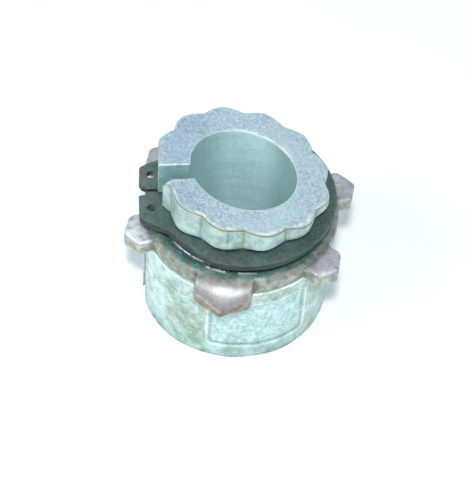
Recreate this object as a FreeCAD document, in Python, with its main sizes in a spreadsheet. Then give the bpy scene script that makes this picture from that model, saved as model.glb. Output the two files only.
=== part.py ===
import FreeCAD, Part
import Sketcher
import math
import os

V = FreeCAD.Vector
P = FreeCAD.Placement
Rot = FreeCAD.Rotation

# Adjustable split-sleeve bushing.
# Frame: +Z is the axis of the outer sleeve's outside diameter, the origin is the
# centre of its bottom face, -Y is the side with the marking panel.
# The bore of the outer sleeve is eccentric to its outside. The lug ring, the
# retaining ring and the inner sleeve all stand on that second axis.

doc = FreeCAD.newDocument("split_sleeve_bushing")
sheet = doc.addObject("Spreadsheet::Sheet", "dims")

DIMS = [
    # outer sleeve
    ("sleeve_od", 41.28),        # outside diameter, 1 5/8 inch
    ("shoulder_height", 22.2),   # bottom face to the shoulder under the lug ring
    ("neck_dia", 36.0),          # neck that carries the lug ring
    ("neck_top", 26.3),          # neck stands 0.4 proud of the ring
    ("outer_bore_dia", 33.5),    # running fit for the inner sleeve
    ("ecc_x", 0.35),             # eccentricity of the bore
    ("ecc_y", 1.0),
    ("outer_slot_width", 4.0),
    ("outer_slot_angle", 192.5),
    ("panel_depth", 0.40),
    ("panel_low", 4.2),
    ("panel_high", 18.1),
    ("panel_start", 256.5),
    ("panel_sweep", 61.8),
    ("panel_corner", 1.3),
    ("edge_round", 0.4),
    ("edge_chamfer", 0.4),
    # lug ring
    ("ring_bore_dia", 36.06),
    ("ring_radius", 21.1),
    ("ring_bottom", 22.2),
    ("ring_top", 25.9),
    ("lug_tip_radius", 26.4),
    ("lug_corner_radius", 24.0),
    ("lug_half_width", 4.1),
    ("front_half_width", 6.2),   # the bent front lug is spread wider
    ("front_corner_radius", 23.1),
    ("front_tip_radius", 25.9),
    # retaining ring
    ("clip_bottom", 28.8),
    ("clip_thickness", 1.5),
    ("clip_inner_dia", 32.0),
    ("clip_outer_dia", 40.7),
    ("clip_waist_dia", 38.1),     # narrower next to the ears,
    ("ear_reach", 22.2),
    ("ear_half_length", 7.2),
    ("ear_hole_dia", 2.0),
    ("ear_hole_reach", 19.5),
    ("near_hole_offset", 4.3),
    ("far_hole_offset", 5.2),
    ("clip_gap", 0.6),
    ("clip_gap_offset", 0.6),     # the gap lies this far to the far ear's side
    ("near_notch_width", 1.1),    # square notch in the near ear's corner
    ("clip_notch_depth", 1.4),
    ("far_corner_cut", 1.9),      # bevel on the far ear's corner
    ("clip_angle", 185.5),
    # inner sleeve
    ("inner_od", 33.4),
    ("inner_bottom", 3.0),
    ("groove_low", 28.7),
    ("groove_high", 33.0),
    ("groove_dia", 31.9),
    ("head_crest_radius", 18.7),
    ("head_notch_radius", 17.5),
    ("head_lobes", 12),
    ("head_centre_height", 37.8),
    ("head_top_limit", 43.0),
    ("face_tilt", 10.8),
    ("stud_bore_dia", 23.0),
    ("bore_tilt", 4.0),
    ("inner_slot_width", 4.0),
    ("inner_slot_angle", 198.0),
]
for i, (name, value) in enumerate(DIMS, start=1):
    sheet.set("A%d" % i, name)
    sheet.set("B%d" % i, str(value))
    sheet.setAlias("B%d" % i, name)
doc.recompute()


def val(name):
    return float(sheet.get(name))


def plane(body, role):
    for f in body.Origin.OriginFeatures:
        if f.Role == role:
            return f
    raise RuntimeError("no plane " + role)


def sketch(body, role, name, offset=None):
    s = body.newObject("Sketcher::SketchObject", name)
    s.AttachmentSupport = [(plane(body, role), "")]
    s.MapMode = "FlatFace"
    if offset is not None:
        s.AttachmentOffset = offset
    return s


def new_body(label):
    b = doc.addObject("PartDesign::Body", label)
    b.Label = label
    return b


def circle(s, cx, cy, expr_dia, exprs=None):
    """Circle with its diameter and centre bound to the sheet."""
    g = s.addGeometry(Part.Circle(V(cx, cy, 0), V(0, 0, 1), val(expr_dia) / 2.0))
    c = s.addConstraint(Sketcher.Constraint("Diameter", g, val(expr_dia)))
    s.setExpression("Constraints[%d]" % c, "dims." + expr_dia)
    if exprs is None:
        s.addConstraint(Sketcher.Constraint("Coincident", g, 3, -1, 1))
    else:
        cxi = s.addConstraint(Sketcher.Constraint("DistanceX", -1, 1, g, 3, val(exprs[0])))
        s.setExpression("Constraints[%d]" % cxi, "dims." + exprs[0])
        cyi = s.addConstraint(Sketcher.Constraint("DistanceY", -1, 1, g, 3, val(exprs[1])))
        s.setExpression("Constraints[%d]" % cyi, "dims." + exprs[1])
    return g


def polyline(s, pts):
    n = len(pts)
    ids = []
    for i in range(n):
        a, b = pts[i], pts[(i + 1) % n]
        ids.append(s.addGeometry(Part.LineSegment(V(a[0], a[1], 0), V(b[0], b[1], 0))))
    for i in range(n):
        s.addConstraint(Sketcher.Constraint("Coincident", ids[i], 2, ids[(i + 1) % n], 1))
    return ids


def edges_where(shape, test):
    return ["Edge%d" % i for i, e in enumerate(shape.Edges, start=1) if test(e)]


def near(a, b, tol=1e-3):
    return abs(a - b) < tol


# ------------------------------------------------------------------ outer sleeve
def make_outer_sleeve():
    b = new_body("outer_sleeve")
    s = sketch(b, "XY_Plane", "outer_section")
    circle(s, 0, 0, "sleeve_od")
    pad = b.newObject("PartDesign::Pad", "outer_wall")
    pad.Profile = s
    pad.setExpression("Length", "dims.shoulder_height")

    s = sketch(b, "XY_Plane", "neck_section")
    circle(s, val("ecc_x"), val("ecc_y"), "neck_dia", ("ecc_x", "ecc_y"))
    neck = b.newObject("PartDesign::Pad", "neck")
    neck.Profile = s
    neck.setExpression("Length", "dims.neck_top")
    doc.recompute()
    v0 = b.Shape.Volume

    s = sketch(b, "XY_Plane", "bore_section")
    circle(s, val("ecc_x"), val("ecc_y"), "outer_bore_dia", ("ecc_x", "ecc_y"))
    bore = b.newObject("PartDesign::Pocket", "eccentric_bore")
    bore.Profile = s
    bore.Type = 1
    bore.Midplane = True
    doc.recompute()
    v1 = b.Shape.Volume
    want = math.pi * (val("outer_bore_dia") / 2) ** 2 * val("neck_top")
    assert abs((v0 - v1) - want) < 1.0, (v0, v1, want)

    # axial slot through one wall, so that a pinch bolt can close the sleeve
    s = sketch(b, "XY_Plane", "slot_section",
               P(V(0, 0, 0), Rot(V(0, 0, 1), val("outer_slot_angle"))))
    s.setExpression("AttachmentOffset.Rotation.Angle", "dims.outer_slot_angle")
    w = val("outer_slot_width") / 2
    ids = polyline(s, [(8, -w), (26, -w), (26, w), (8, w)])
    s.addConstraint(Sketcher.Constraint("Horizontal", ids[0]))
    s.addConstraint(Sketcher.Constraint("Horizontal", ids[2]))
    s.addConstraint(Sketcher.Constraint("Vertical", ids[3]))
    c = s.addConstraint(Sketcher.Constraint("DistanceY", ids[1], 1, ids[1], 2, 2 * w))
    s.setExpression("Constraints[%d]" % c, "dims.outer_slot_width")
    s.addConstraint(Sketcher.Constraint("Symmetric", ids[1], 1, ids[1], 2, -1))
    s.addConstraint(Sketcher.Constraint("DistanceX", -1, 1, ids[0], 1, 8))
    s.addConstraint(Sketcher.Constraint("DistanceX", -1, 1, ids[0], 2, 26))
    slot = b.newObject("PartDesign::Pocket", "pinch_slot")
    slot.Profile = s
    slot.Type = 1
    slot.Midplane = True
    doc.recompute()
    assert b.Shape.Volume < v1 - 100

    # shallow marking panel, left blank: a groove through part of a turn
    v2 = b.Shape.Volume
    s = sketch(b, "XZ_Plane", "panel_section",
               P(V(0, 0, 0), Rot(V(0, 1, 0), val("panel_start") + val("panel_sweep") / 2)))
    s.setExpression("AttachmentOffset.Rotation.Angle", "dims.panel_start + dims.panel_sweep / 2")
    r = val("sleeve_od") / 2
    ids = polyline(s, [(r - val("panel_depth"), val("panel_low")), (r + 1, val("panel_low")),
                       (r + 1, val("panel_high")), (r - val("panel_depth"), val("panel_high"))])
    s.addConstraint(Sketcher.Constraint("Horizontal", ids[0]))
    s.addConstraint(Sketcher.Constraint("Vertical", ids[1]))
    s.addConstraint(Sketcher.Constraint("Horizontal", ids[2]))
    s.addConstraint(Sketcher.Constraint("Vertical", ids[3]))
    c = s.addConstraint(Sketcher.Constraint("DistanceX", -1, 1, ids[0], 1, r - val("panel_depth")))
    s.setExpression("Constraints[%d]" % c, "dims.sleeve_od / 2 - dims.panel_depth")
    c = s.addConstraint(Sketcher.Constraint("DistanceY", -1, 1, ids[0], 1, val("panel_low")))
    s.setExpression("Constraints[%d]" % c, "dims.panel_low")
    c = s.addConstraint(Sketcher.Constraint("DistanceY", -1, 1, ids[2], 1, val("panel_high")))
    s.setExpression("Constraints[%d]" % c, "dims.panel_high")
    c = s.addConstraint(Sketcher.Constraint("DistanceX", -1, 1, ids[0], 2, r + 1))
    s.setExpression("Constraints[%d]" % c, "dims.sleeve_od / 2 + 1")
    panel = b.newObject("PartDesign::Groove", "marking_panel")
    panel.Profile = s
    panel.ReferenceAxis = (s, ["V_Axis"])
    panel.Midplane = True
    panel.setExpression("Angle", "dims.panel_sweep")
    doc.recompute()
    cut = v2 - b.Shape.Volume
    r0 = r - val("panel_depth")
    want = (r * r - r0 * r0) * math.radians(val("panel_sweep")) / 2 * (val("panel_high") - val("panel_low"))
    assert abs(cut - want) < 3.0, (cut, want)
    # where the panel lies, by angle
    mid = math.radians(val("panel_start") + val("panel_sweep") / 2)
    probe = V((r - 0.1) * math.cos(mid), (r - 0.1) * math.sin(mid), 10)
    assert not b.Shape.isInside(probe, 1e-4, True), "the panel is at the wrong angle"

    # rounded panel corners: the four short radial edges
    def corner(e):
        if len(e.Vertexes) != 2 or e.Length > val("panel_depth") * 1.5:
            return False
        a, c2 = e.Vertexes[0].Point, e.Vertexes[1].Point
        if abs(a.z - c2.z) > 1e-6:
            return False
        if not (near(a.z, val("panel_low")) or near(a.z, val("panel_high"))):
            return False
        return abs(e.Length - val("panel_depth")) < 1e-3
    names = edges_where(b.Shape, corner)
    if len(names) == 4:
        f = b.newObject("PartDesign::Fillet", "panel_corners")
        f.Base = (b.Tip if False else panel, names)
        f.setExpression("Radius", "dims.panel_corner")
        doc.recompute()
    last = b.Tip

    def is_circle_at(e, z, rad, cxy=(0, 0)):
        c = e.Curve
        return (isinstance(c, Part.Circle) and near(c.Center.z, z) and near(c.Radius, rad, 1e-2)
                and near(c.Center.x, cxy[0], 1e-2) and near(c.Center.y, cxy[1], 1e-2))

    names = edges_where(b.Shape, lambda e: is_circle_at(e, 0, r))
    f = b.newObject("PartDesign::Fillet", "bottom_round")
    f.Base = (last, names)
    f.setExpression("Radius", "dims.edge_round")
    doc.recompute()
    ecc = (val("ecc_x"), val("ecc_y"))
    names = edges_where(b.Shape, lambda e: is_circle_at(e, val("shoulder_height"), r)
                        or is_circle_at(e, val("neck_top"), val("neck_dia") / 2, ecc)
                        or is_circle_at(e, 0, val("outer_bore_dia") / 2, ecc))
    c = b.newObject("PartDesign::Chamfer", "edge_breaks")
    c.Base = (f, names)
    c.setExpression("Size", "dims.edge_chamfer")
    doc.recompute()
    return b


# ------------------------------------------------------------------ lug ring
# Angles of the lugs about the ring's axis, and which of them is bent down.
LUGS = [(263.5, True), (324.5, False), (21.5, False), (83.5, False), (143.5, False), (200.5, False)]


def lug_outline(lugs):
    """Outline of the ring with a five-sided lug at each angle: a list of edges
    for a sketch in the ring's own frame."""
    rr = val("ring_radius")
    round1, round2 = 0.9, 1.3
    items = []
    lugs = sorted(lugs)

    def turn(p, a):
        return (p[0] * math.cos(a) - p[1] * math.sin(a), p[0] * math.sin(a) + p[1] * math.cos(a))

    def fillet(p0, p1, p2, rad):
        d0 = (p0[0] - p1[0], p0[1] - p1[1])
        d2 = (p2[0] - p1[0], p2[1] - p1[1])
        l0, l2 = math.hypot(*d0), math.hypot(*d2)
        u0, u2 = (d0[0] / l0, d0[1] / l0), (d2[0] / l2, d2[1] / l2)
        ang = math.acos(u0[0] * u2[0] + u0[1] * u2[1])
        t = rad / math.tan(ang / 2)
        a = (p1[0] + u0[0] * t, p1[1] + u0[1] * t)
        c = (p1[0] + u2[0] * t, p1[1] + u2[1] * t)
        bis = (u0[0] + u2[0], u0[1] + u2[1])
        lb = math.hypot(*bis)
        dist = rad / math.sin(ang / 2)
        cen = (p1[0] + bis[0] / lb * dist, p1[1] + bis[1] / lb * dist)
        m = (cen[0] + (p1[0] - cen[0]) / dist * rad, cen[1] + (p1[1] - cen[1]) / dist * rad)
        return a, m, c

    def width(bent):
        return val("front_half_width") if bent else val("lug_half_width")

    for k, (deg, bent) in enumerate(lugs):
        a = math.radians(deg)
        w = width(bent)
        rc = val("front_corner_radius") if bent else val("lug_corner_radius")
        rt = val("front_tip_radius") if bent else val("lug_tip_radius")
        root = math.sqrt(rr * rr - w * w)
        half = math.asin(w / rr)
        pts = [(root, -w), (rc, -w), (rt, 0.0), (rc, w), (root, w)]
        pts = [turn(p, a) for p in pts]
        f1 = fillet(pts[0], pts[1], pts[2], round1)
        f2 = fillet(pts[1], pts[2], pts[3], round2)
        f3 = fillet(pts[2], pts[3], pts[4], round1)
        items.append(("line", pts[0], f1[0]))
        items.append(("arc", f1[0], f1[1], f1[2]))
        items.append(("line", f1[2], f2[0]))
        items.append(("arc", f2[0], f2[1], f2[2]))
        items.append(("line", f2[2], f3[0]))
        items.append(("arc", f3[0], f3[1], f3[2]))
        items.append(("line", f3[2], pts[4]))
        b0 = a + half
        deg2, bent2 = lugs[(k + 1) % len(lugs)]
        nxt = math.radians(deg2) - math.asin(width(bent2) / rr)
        while nxt < b0:
            nxt += 2 * math.pi
        mid = (b0 + nxt) / 2
        items.append(("arc", pts[4], (rr * math.cos(mid), rr * math.sin(mid)), (rr * math.cos(nxt), rr * math.sin(nxt))))
    return items


def add_items(s, items):
    for it in items:
        if it[0] == "line":
            s.addGeometry(Part.LineSegment(V(it[1][0], it[1][1], 0), V(it[2][0], it[2][1], 0)))
        else:
            s.addGeometry(Part.Arc(V(it[1][0], it[1][1], 0), V(it[2][0], it[2][1], 0), V(it[3][0], it[3][1], 0)))


def star_pocket(b, name, lugs):
    s = sketch(b, "XY_Plane", name + "_section")
    add_items(s, lug_outline(lugs))
    s.addGeometry(Part.Circle(V(0, 0, 0), V(0, 0, 1), 34.0))
    p = b.newObject("PartDesign::Pocket", name)
    p.Profile = s
    p.Type = 1
    p.Midplane = True
    doc.recompute()
    return p


def dish_profile(s, pts_top, pts_bottom):
    """Closed section: top points outward, then bottom points inward."""
    pts = list(pts_top) + list(pts_bottom)
    geo = []
    n = len(pts)
    for i in range(n):
        a, c = pts[i], pts[(i + 1) % n]
        geo.append(s.addGeometry(Part.LineSegment(V(a[0], a[1], 0), V(c[0], c[1], 0))))
    for i in range(n):
        s.addConstraint(Sketcher.Constraint("Coincident", geo[i], 2, geo[(i + 1) % n], 1))


def make_lug_ring():
    b = new_body("lug_ring")
    ri = val("ring_bore_dia") / 2
    zb, zt = val("ring_bottom"), val("ring_top")
    rr, rt = val("ring_radius"), val("lug_tip_radius")
    # mild dish: flat at the bore, rounded shoulder, lugs falling a little outward
    s = sketch(b, "XZ_Plane", "dish_section")
    top = [(ri, zt), (19.2, zt), (20.2, zt - 0.12), (rr, zt - 0.4), (23.0, zt - 0.5), (rt + 0.6, zt - 0.7)]
    bot = [(rt + 0.6, zb - 1.0), (23.0, zb - 0.4), (21.6, zb), (ri, zb)]
    dish_profile(s, top, bot)
    rev = b.newObject("PartDesign::Revolution", "dish")
    rev.Profile = s
    rev.ReferenceAxis = (s, ["V_Axis"])
    rev.Angle = 360
    doc.recompute()
    assert b.Shape.Volume > 1000
    star_pocket(b, "lugs_cut", [l for l in LUGS if not l[1]])
    # the front lug is bent down: a second dish over part of a turn
    front = [a for a, bent in LUGS if bent][0]
    sweep = 42.0
    rt = val("front_tip_radius")
    s = sketch(b, "XZ_Plane", "bent_section",
               P(V(0, 0, 0), Rot(V(0, 1, 0), front)))
    top = [(19.2, zt), (20.2, zt - 0.25), (rr, zt - 0.75), (22.2, zt - 1.3), (23.4, zt - 2.15), (24.6, zt - 3.2), (rt + 0.3, zt - 4.2)]
    bot = [(rt + 0.3, zt - 6.9), (24.4, zt - 6.1), (23.2, zt - 5.0), (22.4, zb - 0.5), (21.9, zb), (19.2, zb)]
    dish_profile(s, top, bot)
    rev = b.newObject("PartDesign::Revolution", "bent_dish")
    rev.Profile = s
    rev.ReferenceAxis = (s, ["V_Axis"])
    rev.Midplane = True
    rev.Angle = sweep
    doc.recompute()
    mid = math.radians(front)
    probe = V(24.0 * math.cos(mid), 24.0 * math.sin(mid), zt - 4.5)
    if not b.Shape.isInside(probe, 1e-4, True):
        raise RuntimeError("the bent lug is at the wrong angle")
    star_pocket(b, "all_lugs_cut", LUGS)
    b.setExpression("Placement.Base.x", "dims.ecc_x")
    b.setExpression("Placement.Base.y", "dims.ecc_y")
    doc.recompute()
    return b


# ------------------------------------------------------------------ retaining ring
def make_retaining_ring():
    b = new_body("retaining_ring")
    off = P(V(0, 0, val("clip_bottom")), Rot(V(0, 0, 1), val("clip_angle")))
    s = sketch(b, "XY_Plane", "ring_section", off)
    s.setExpression("AttachmentOffset.Base.z", "dims.clip_bottom")
    s.setExpression("AttachmentOffset.Rotation.Angle", "dims.clip_angle")
    ro, ri = val("clip_outer_dia") / 2, val("clip_inner_dia") / 2
    g = val("clip_gap") / 2
    go = val("clip_gap_offset")
    nw, nd, fc = val("near_notch_width"), val("clip_notch_depth"), val("far_corner_cut")
    er, el = val("ear_reach"), val("ear_half_length")
    # outline in the section's own frame: the gap lies along local +X, the near
    # ear is on the +Y side of it
    rw = val("clip_waist_dia") / 2

    def polar(r, deg):
        return (r * math.cos(math.radians(deg)), r * math.sin(math.radians(deg)))
    root, waist, broad = polar(rw, 34.0), polar(rw, 52.0), polar(ro, 72.0)

    def mirror(q):
        return (q[0], -q[1])

    def on_bore(y):
        return (math.sqrt(ri * ri - y * y), y)
    yn, yf = g - go, -g - go
    near_ear = [on_bore(yn), (er - nd, yn), (er - nd, yn + nw), (er, yn + nw), (er - 0.1, el), (er - 1.6, el + 1.1), root]
    far_ear = [on_bore(yf), (er - nd, yf), (er - nd, yf - 0.4), (er - 0.45, yf - 0.85), (er, yf - fc), (er - 0.1, -el), (er - 1.6, -el - 1.1), mirror(root)]
    items = []
    for i in range(len(near_ear) - 1):
        items.append(("line", near_ear[i], near_ear[i + 1]))
    items.append(("arc", root, polar(rw, 43.0), waist))
    items.append(("line", waist, broad))
    items.append(("arc", broad, (-ro, 0.0), mirror(broad)))
    items.append(("line", mirror(broad), mirror(waist)))
    items.append(("arc", mirror(waist), polar(rw, -43.0), mirror(root)))
    low = list(reversed(far_ear))
    for i in range(len(low) - 1):
        items.append(("line", low[i], low[i + 1]))
    items.append(("arc", low[-1], (-ri, 0.0), near_ear[0]))
    add_items(s, items)
    for sy, name in ((1, "near_hole_offset"), (-1, "far_hole_offset")):
        c = s.addGeometry(Part.Circle(V(val("ear_hole_reach"), sy * val(name), 0), V(0, 0, 1), val("ear_hole_dia") / 2))
        k = s.addConstraint(Sketcher.Constraint("Diameter", c, val("ear_hole_dia")))
        s.setExpression("Constraints[%d]" % k, "dims.ear_hole_dia")
        k = s.addConstraint(Sketcher.Constraint("DistanceX", -1, 1, c, 3, val("ear_hole_reach")))
        s.setExpression("Constraints[%d]" % k, "dims.ear_hole_reach")
        k = s.addConstraint(Sketcher.Constraint("DistanceY", -1, 1, c, 3, sy * val(name)))
        s.setExpression("Constraints[%d]" % k, ("" if sy > 0 else "-") + "dims." + name)
    pad = b.newObject("PartDesign::Pad", "stamped_ring")
    pad.Profile = s
    pad.setExpression("Length", "dims.clip_thickness")
    doc.recompute()
    assert b.Shape.Volume > 300
    b.setExpression("Placement.Base.x", "dims.ecc_x")
    b.setExpression("Placement.Base.y", "dims.ecc_y")
    doc.recompute()
    return b


# ------------------------------------------------------------------ inner sleeve
def make_inner_sleeve():
    b = new_body("inner_sleeve")
    zb, g0, g1 = val("inner_bottom"), val("groove_low"), val("groove_high")
    r, gr = val("inner_od") / 2, val("groove_dia") / 2
    s = sketch(b, "XZ_Plane", "shank_section")
    pts = [(0, zb), (r - 0.6, zb), (r, zb + 0.6), (r, g0), (gr, g0), (gr, g1 + 0.5), (0, g1 + 0.5)]
    ids = polyline(s, pts)
    for i in (0, 3, 5):
        s.addConstraint(Sketcher.Constraint("Horizontal", ids[i]))
    for i in (2, 4, 6):
        s.addConstraint(Sketcher.Constraint("Vertical", ids[i]))

    def bind(kind, geo, pos, value, expr):
        c = s.addConstraint(Sketcher.Constraint(kind, -1, 1, geo, pos, value))
        s.setExpression("Constraints[%d]" % c, expr)
    s.addConstraint(Sketcher.Constraint("PointOnObject", ids[0], 1, -2))
    bind("DistanceY", ids[0], 1, zb, "dims.inner_bottom")
    bind("DistanceX", ids[0], 2, r - 0.6, "dims.inner_od / 2 - 0.6")
    bind("DistanceX", ids[2], 1, r, "dims.inner_od / 2")
    bind("DistanceY", ids[2], 1, zb + 0.6, "dims.inner_bottom + 0.6")
    bind("DistanceY", ids[2], 2, g0, "dims.groove_low")
    bind("DistanceX", ids[4], 1, gr, "dims.groove_dia / 2")
    bind("DistanceY", ids[4], 2, g1 + 0.5, "dims.groove_high + 0.5")
    rev = b.newObject("PartDesign::Revolution", "shank")
    rev.Profile = s
    rev.ReferenceAxis = (s, ["V_Axis"])
    rev.Angle = 360
    doc.recompute()

    # scalloped wrench head: twelve rounded lobes
    slot_a = val("inner_slot_angle")
    off = P(V(0, 0, g1), Rot(V(0, 0, 1), slot_a))
    s = sketch(b, "XY_Plane", "head_section", off)
    s.setExpression("AttachmentOffset.Base.z", "dims.groove_high")
    s.setExpression("AttachmentOffset.Rotation.Angle", "dims.inner_slot_angle")
    n = int(val("head_lobes"))
    rc, rn = val("head_crest_radius"), val("head_notch_radius")
    step = 2 * math.pi / n
    for k in range(n):
        a = k * step
        p0 = V(rn * math.cos(a - step / 2), rn * math.sin(a - step / 2), 0)
        p1 = V(rc * math.cos(a), rc * math.sin(a), 0)
        p2 = V(rn * math.cos(a + step / 2), rn * math.sin(a + step / 2), 0)
        s.addGeometry(Part.Arc(p0, p1, p2))
    head = b.newObject("PartDesign::Pad", "scalloped_head")
    head.Profile = s
    head.Length = val("head_top_limit") - g1
    head.setExpression("Length", "dims.head_top_limit - dims.groove_high")
    doc.recompute()
    v0 = b.Shape.Volume

    # inclined top face: everything above a plane that falls away from the slot
    t = math.tan(math.radians(val("face_tilt")))
    hc = val("head_centre_height")
    s = sketch(b, "XZ_Plane", "face_section", P(V(0, 0, 0), Rot(V(0, 1, 0), slot_a)))
    s.setExpression("AttachmentOffset.Rotation.Angle", "dims.inner_slot_angle")
    # local +X points to the slot side, where the face is high
    polyline(s, [(-24, hc - 24 * t), (24, hc + 24 * t), (24, 60), (-24, 60)])
    face = b.newObject("PartDesign::Pocket", "inclined_face")
    face.Profile = s
    face.Type = 1
    face.Midplane = True
    doc.recompute()
    assert b.Shape.Volume < v0 - 500

    # stud bore, inclined to the outside of the sleeve
    v1 = b.Shape.Volume
    bt = val("bore_tilt")
    az = math.radians(slot_a)
    axis = V(-math.sin(math.radians(bt)) * math.cos(az), -math.sin(math.radians(bt)) * math.sin(az), math.cos(math.radians(bt)))
    off = P(V(0, 0, hc), Rot(V(0, 0, 1), axis))
    s = sketch(b, "XY_Plane", "stud_section", off)
    s.setExpression("AttachmentOffset.Base.z", "dims.head_centre_height")
    circle(s, 0, 0, "stud_bore_dia")
    bore = b.newObject("PartDesign::Pocket", "stud_bore")
    bore.Profile = s
    bore.Type = 1
    bore.Midplane = True
    doc.recompute()
    assert b.Shape.Volume < v1 - 12000, (v1, b.Shape.Volume)

    # slot through one wall
    v2 = b.Shape.Volume
    s = sketch(b, "XY_Plane", "slot_section", P(V(0, 0, 0), Rot(V(0, 0, 1), slot_a)))
    s.setExpression("AttachmentOffset.Rotation.Angle", "dims.inner_slot_angle")
    w = val("inner_slot_width") / 2
    ids = polyline(s, [(6, -w), (22, -w), (22, w), (6, w)])
    s.addConstraint(Sketcher.Constraint("Horizontal", ids[0]))
    s.addConstraint(Sketcher.Constraint("Horizontal", ids[2]))
    s.addConstraint(Sketcher.Constraint("Vertical", ids[3]))
    c = s.addConstraint(Sketcher.Constraint("DistanceY", ids[1], 1, ids[1], 2, 2 * w))
    s.setExpression("Constraints[%d]" % c, "dims.inner_slot_width")
    s.addConstraint(Sketcher.Constraint("Symmetric", ids[1], 1, ids[1], 2, -1))
    s.addConstraint(Sketcher.Constraint("DistanceX", -1, 1, ids[0], 1, 6))
    s.addConstraint(Sketcher.Constraint("DistanceX", -1, 1, ids[0], 2, 22))
    slot = b.newObject("PartDesign::Pocket", "pinch_slot_inner")
    slot.Profile = s
    slot.Type = 1
    slot.Midplane = True
    doc.recompute()
    assert b.Shape.Volume < v2 - 250
    b.setExpression("Placement.Base.x", "dims.ecc_x")
    b.setExpression("Placement.Base.y", "dims.ecc_y")
    doc.recompute()
    return b


parts = [make_outer_sleeve(), make_lug_ring(), make_retaining_ring(), make_inner_sleeve()]
doc.recompute()

for o in doc.Objects:
    for flag in ("Invalid", "Error"):
        if flag in o.State:
            raise RuntimeError("%s (%s) is %s" % (o.Name, o.Label, o.State))

os.makedirs("parts", exist_ok=True)
for o in parts:
    sh = o.Shape
    if sh.isNull() or not sh.isValid() or len(sh.Solids) != 1:
        raise RuntimeError("%s has a bad shape: %d solids" % (o.Label, len(sh.Solids)))
for o in parts:
    sh = o.Shape
    bb = sh.BoundBox
    print("%-16s volume %.1f mm3, x %.2f %.2f y %.2f %.2f z %.2f %.2f" % (
        o.Label, sh.Volume, bb.XMin, bb.XMax, bb.YMin, bb.YMax, bb.ZMin, bb.ZMax))
    sh.exportStep("parts/%s.step" % o.Label)
for i in range(len(parts)):
    for j in range(i + 1, len(parts)):
        v = parts[i].Shape.common(parts[j].Shape).Volume
        print("overlap %s / %s: %.4f mm3" % (parts[i].Label, parts[j].Label, v))
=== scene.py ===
import bpy
import bmesh
import math
import numpy as np
from mathutils import Matrix, Vector


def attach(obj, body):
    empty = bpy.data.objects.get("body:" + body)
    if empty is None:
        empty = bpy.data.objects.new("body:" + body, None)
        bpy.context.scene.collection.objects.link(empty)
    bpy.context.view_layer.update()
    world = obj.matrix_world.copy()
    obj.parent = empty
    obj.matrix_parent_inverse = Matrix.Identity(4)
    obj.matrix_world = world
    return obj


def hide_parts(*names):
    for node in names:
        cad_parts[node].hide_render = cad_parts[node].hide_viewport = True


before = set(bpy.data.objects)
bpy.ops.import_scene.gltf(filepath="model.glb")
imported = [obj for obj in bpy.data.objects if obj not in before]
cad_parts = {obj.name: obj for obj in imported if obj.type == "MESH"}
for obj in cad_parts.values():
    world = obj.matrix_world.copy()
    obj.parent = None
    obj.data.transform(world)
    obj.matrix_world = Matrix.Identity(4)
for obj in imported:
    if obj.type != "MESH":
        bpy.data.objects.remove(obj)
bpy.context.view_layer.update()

MM = 0.001

# ---------------------------------------------------------------- sizes (mm), as in the CAD
ECC = np.array([0.35, 1.0])
R_OUT = 20.64
SHOULDER = 22.2
NECK_R = 18.0
NECK_TOP = 26.3
BORE_R = 16.75
SLOT_OUT = math.radians(192.5)
SLOT_IN = math.radians(198.0)
HALF_SLOT = 2.0
PANEL_LOW, PANEL_HIGH, PANEL_DEPTH, PANEL_CORNER = 4.2, 18.1, 0.40, 1.3
PANEL_A0, PANEL_A1 = math.radians(256.5), math.radians(318.3)

RING_BORE = 18.03
RING_R = 21.1
RING_LOW, RING_TOP = 22.2, 25.9
LUG_TIP, LUG_CORNER, LUG_HALF = 26.4, 24.0, 4.1
FRONT_HALF, FRONT_CORNER, FRONT_TIP = 6.2, 23.1, 25.9
LUGS = [(263.5, True), (324.5, False), (21.5, False), (83.5, False), (143.5, False), (200.5, False)]

CLIP_LOW, CLIP_T = 28.8, 1.5
CLIP_RI, CLIP_RO = 16.0, 20.35
EAR_REACH, EAR_HALF = 22.2, 7.2
EAR_HOLE_R, EAR_HOLE_X, EAR_HOLE_NEAR, EAR_HOLE_FAR = 1.0, 19.5, 4.3, -5.2
CLIP_GAP, GAP_OFF, CLIP_NOTCH_W, CLIP_NOTCH_D, FAR_CUT = 0.3, 0.6, 1.1, 1.4, 1.9
CLIP_WAIST = 19.05
CLIP_ANGLE = math.radians(185.5)

SHANK_R = 16.7
INNER_LOW = 3.0
GROOVE_LOW, GROOVE_HIGH, GROOVE_R = 28.7, 33.0, 15.95
CREST_R, NOTCH_R, LOBES = 18.7, 17.5, 12
HEAD_Z = 37.8
# creases in the head's skin: angle, lower and upper height, width, depth
CREASES = ((263.0, 35.2, 38.4, 0.17, 1.0), (281.0, 34.8, 37.8, 0.14, 0.7), (249.0, 34.0, 36.2, 0.16, 0.4), (312.0, 34.0, 36.4, 0.16, 0.35))
TILT = math.tan(math.radians(10.8))
STUD_R = 11.5
BORE_TILT = math.radians(4.0)


# ---------------------------------------------------------------- numeric helpers
def _hash(ix, iy, iz, seed):
    h = (ix.astype(np.int64) * 374761393 + iy.astype(np.int64) * 668265263
         + iz.astype(np.int64) * 1440662683 + seed * 974711) & 0xFFFFFFFF
    h = ((h ^ (h >> 13)) * 1274126177) & 0xFFFFFFFF
    h = ((h ^ (h >> 16)) * 2246822519) & 0xFFFFFFFF
    return ((h ^ (h >> 15)) & 0xFFFFFF) / float(0xFFFFFF)


def vnoise(p, size, seed=0):
    """Smooth value noise from -1 to 1 at points p (n,3); size is the cell in mm."""
    q = p / size
    i = np.floor(q).astype(np.int64)
    f = q - i
    f = f * f * f * (f * (f * 6 - 15) + 10)
    out = np.zeros(len(p))
    for dx in (0, 1):
        wx = f[:, 0] if dx else 1 - f[:, 0]
        for dy in (0, 1):
            wy = f[:, 1] if dy else 1 - f[:, 1]
            for dz in (0, 1):
                wz = f[:, 2] if dz else 1 - f[:, 2]
                out += wx * wy * wz * _hash(i[:, 0] + dx, i[:, 1] + dy, i[:, 2] + dz, seed)
    return out * 2 - 1


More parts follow.
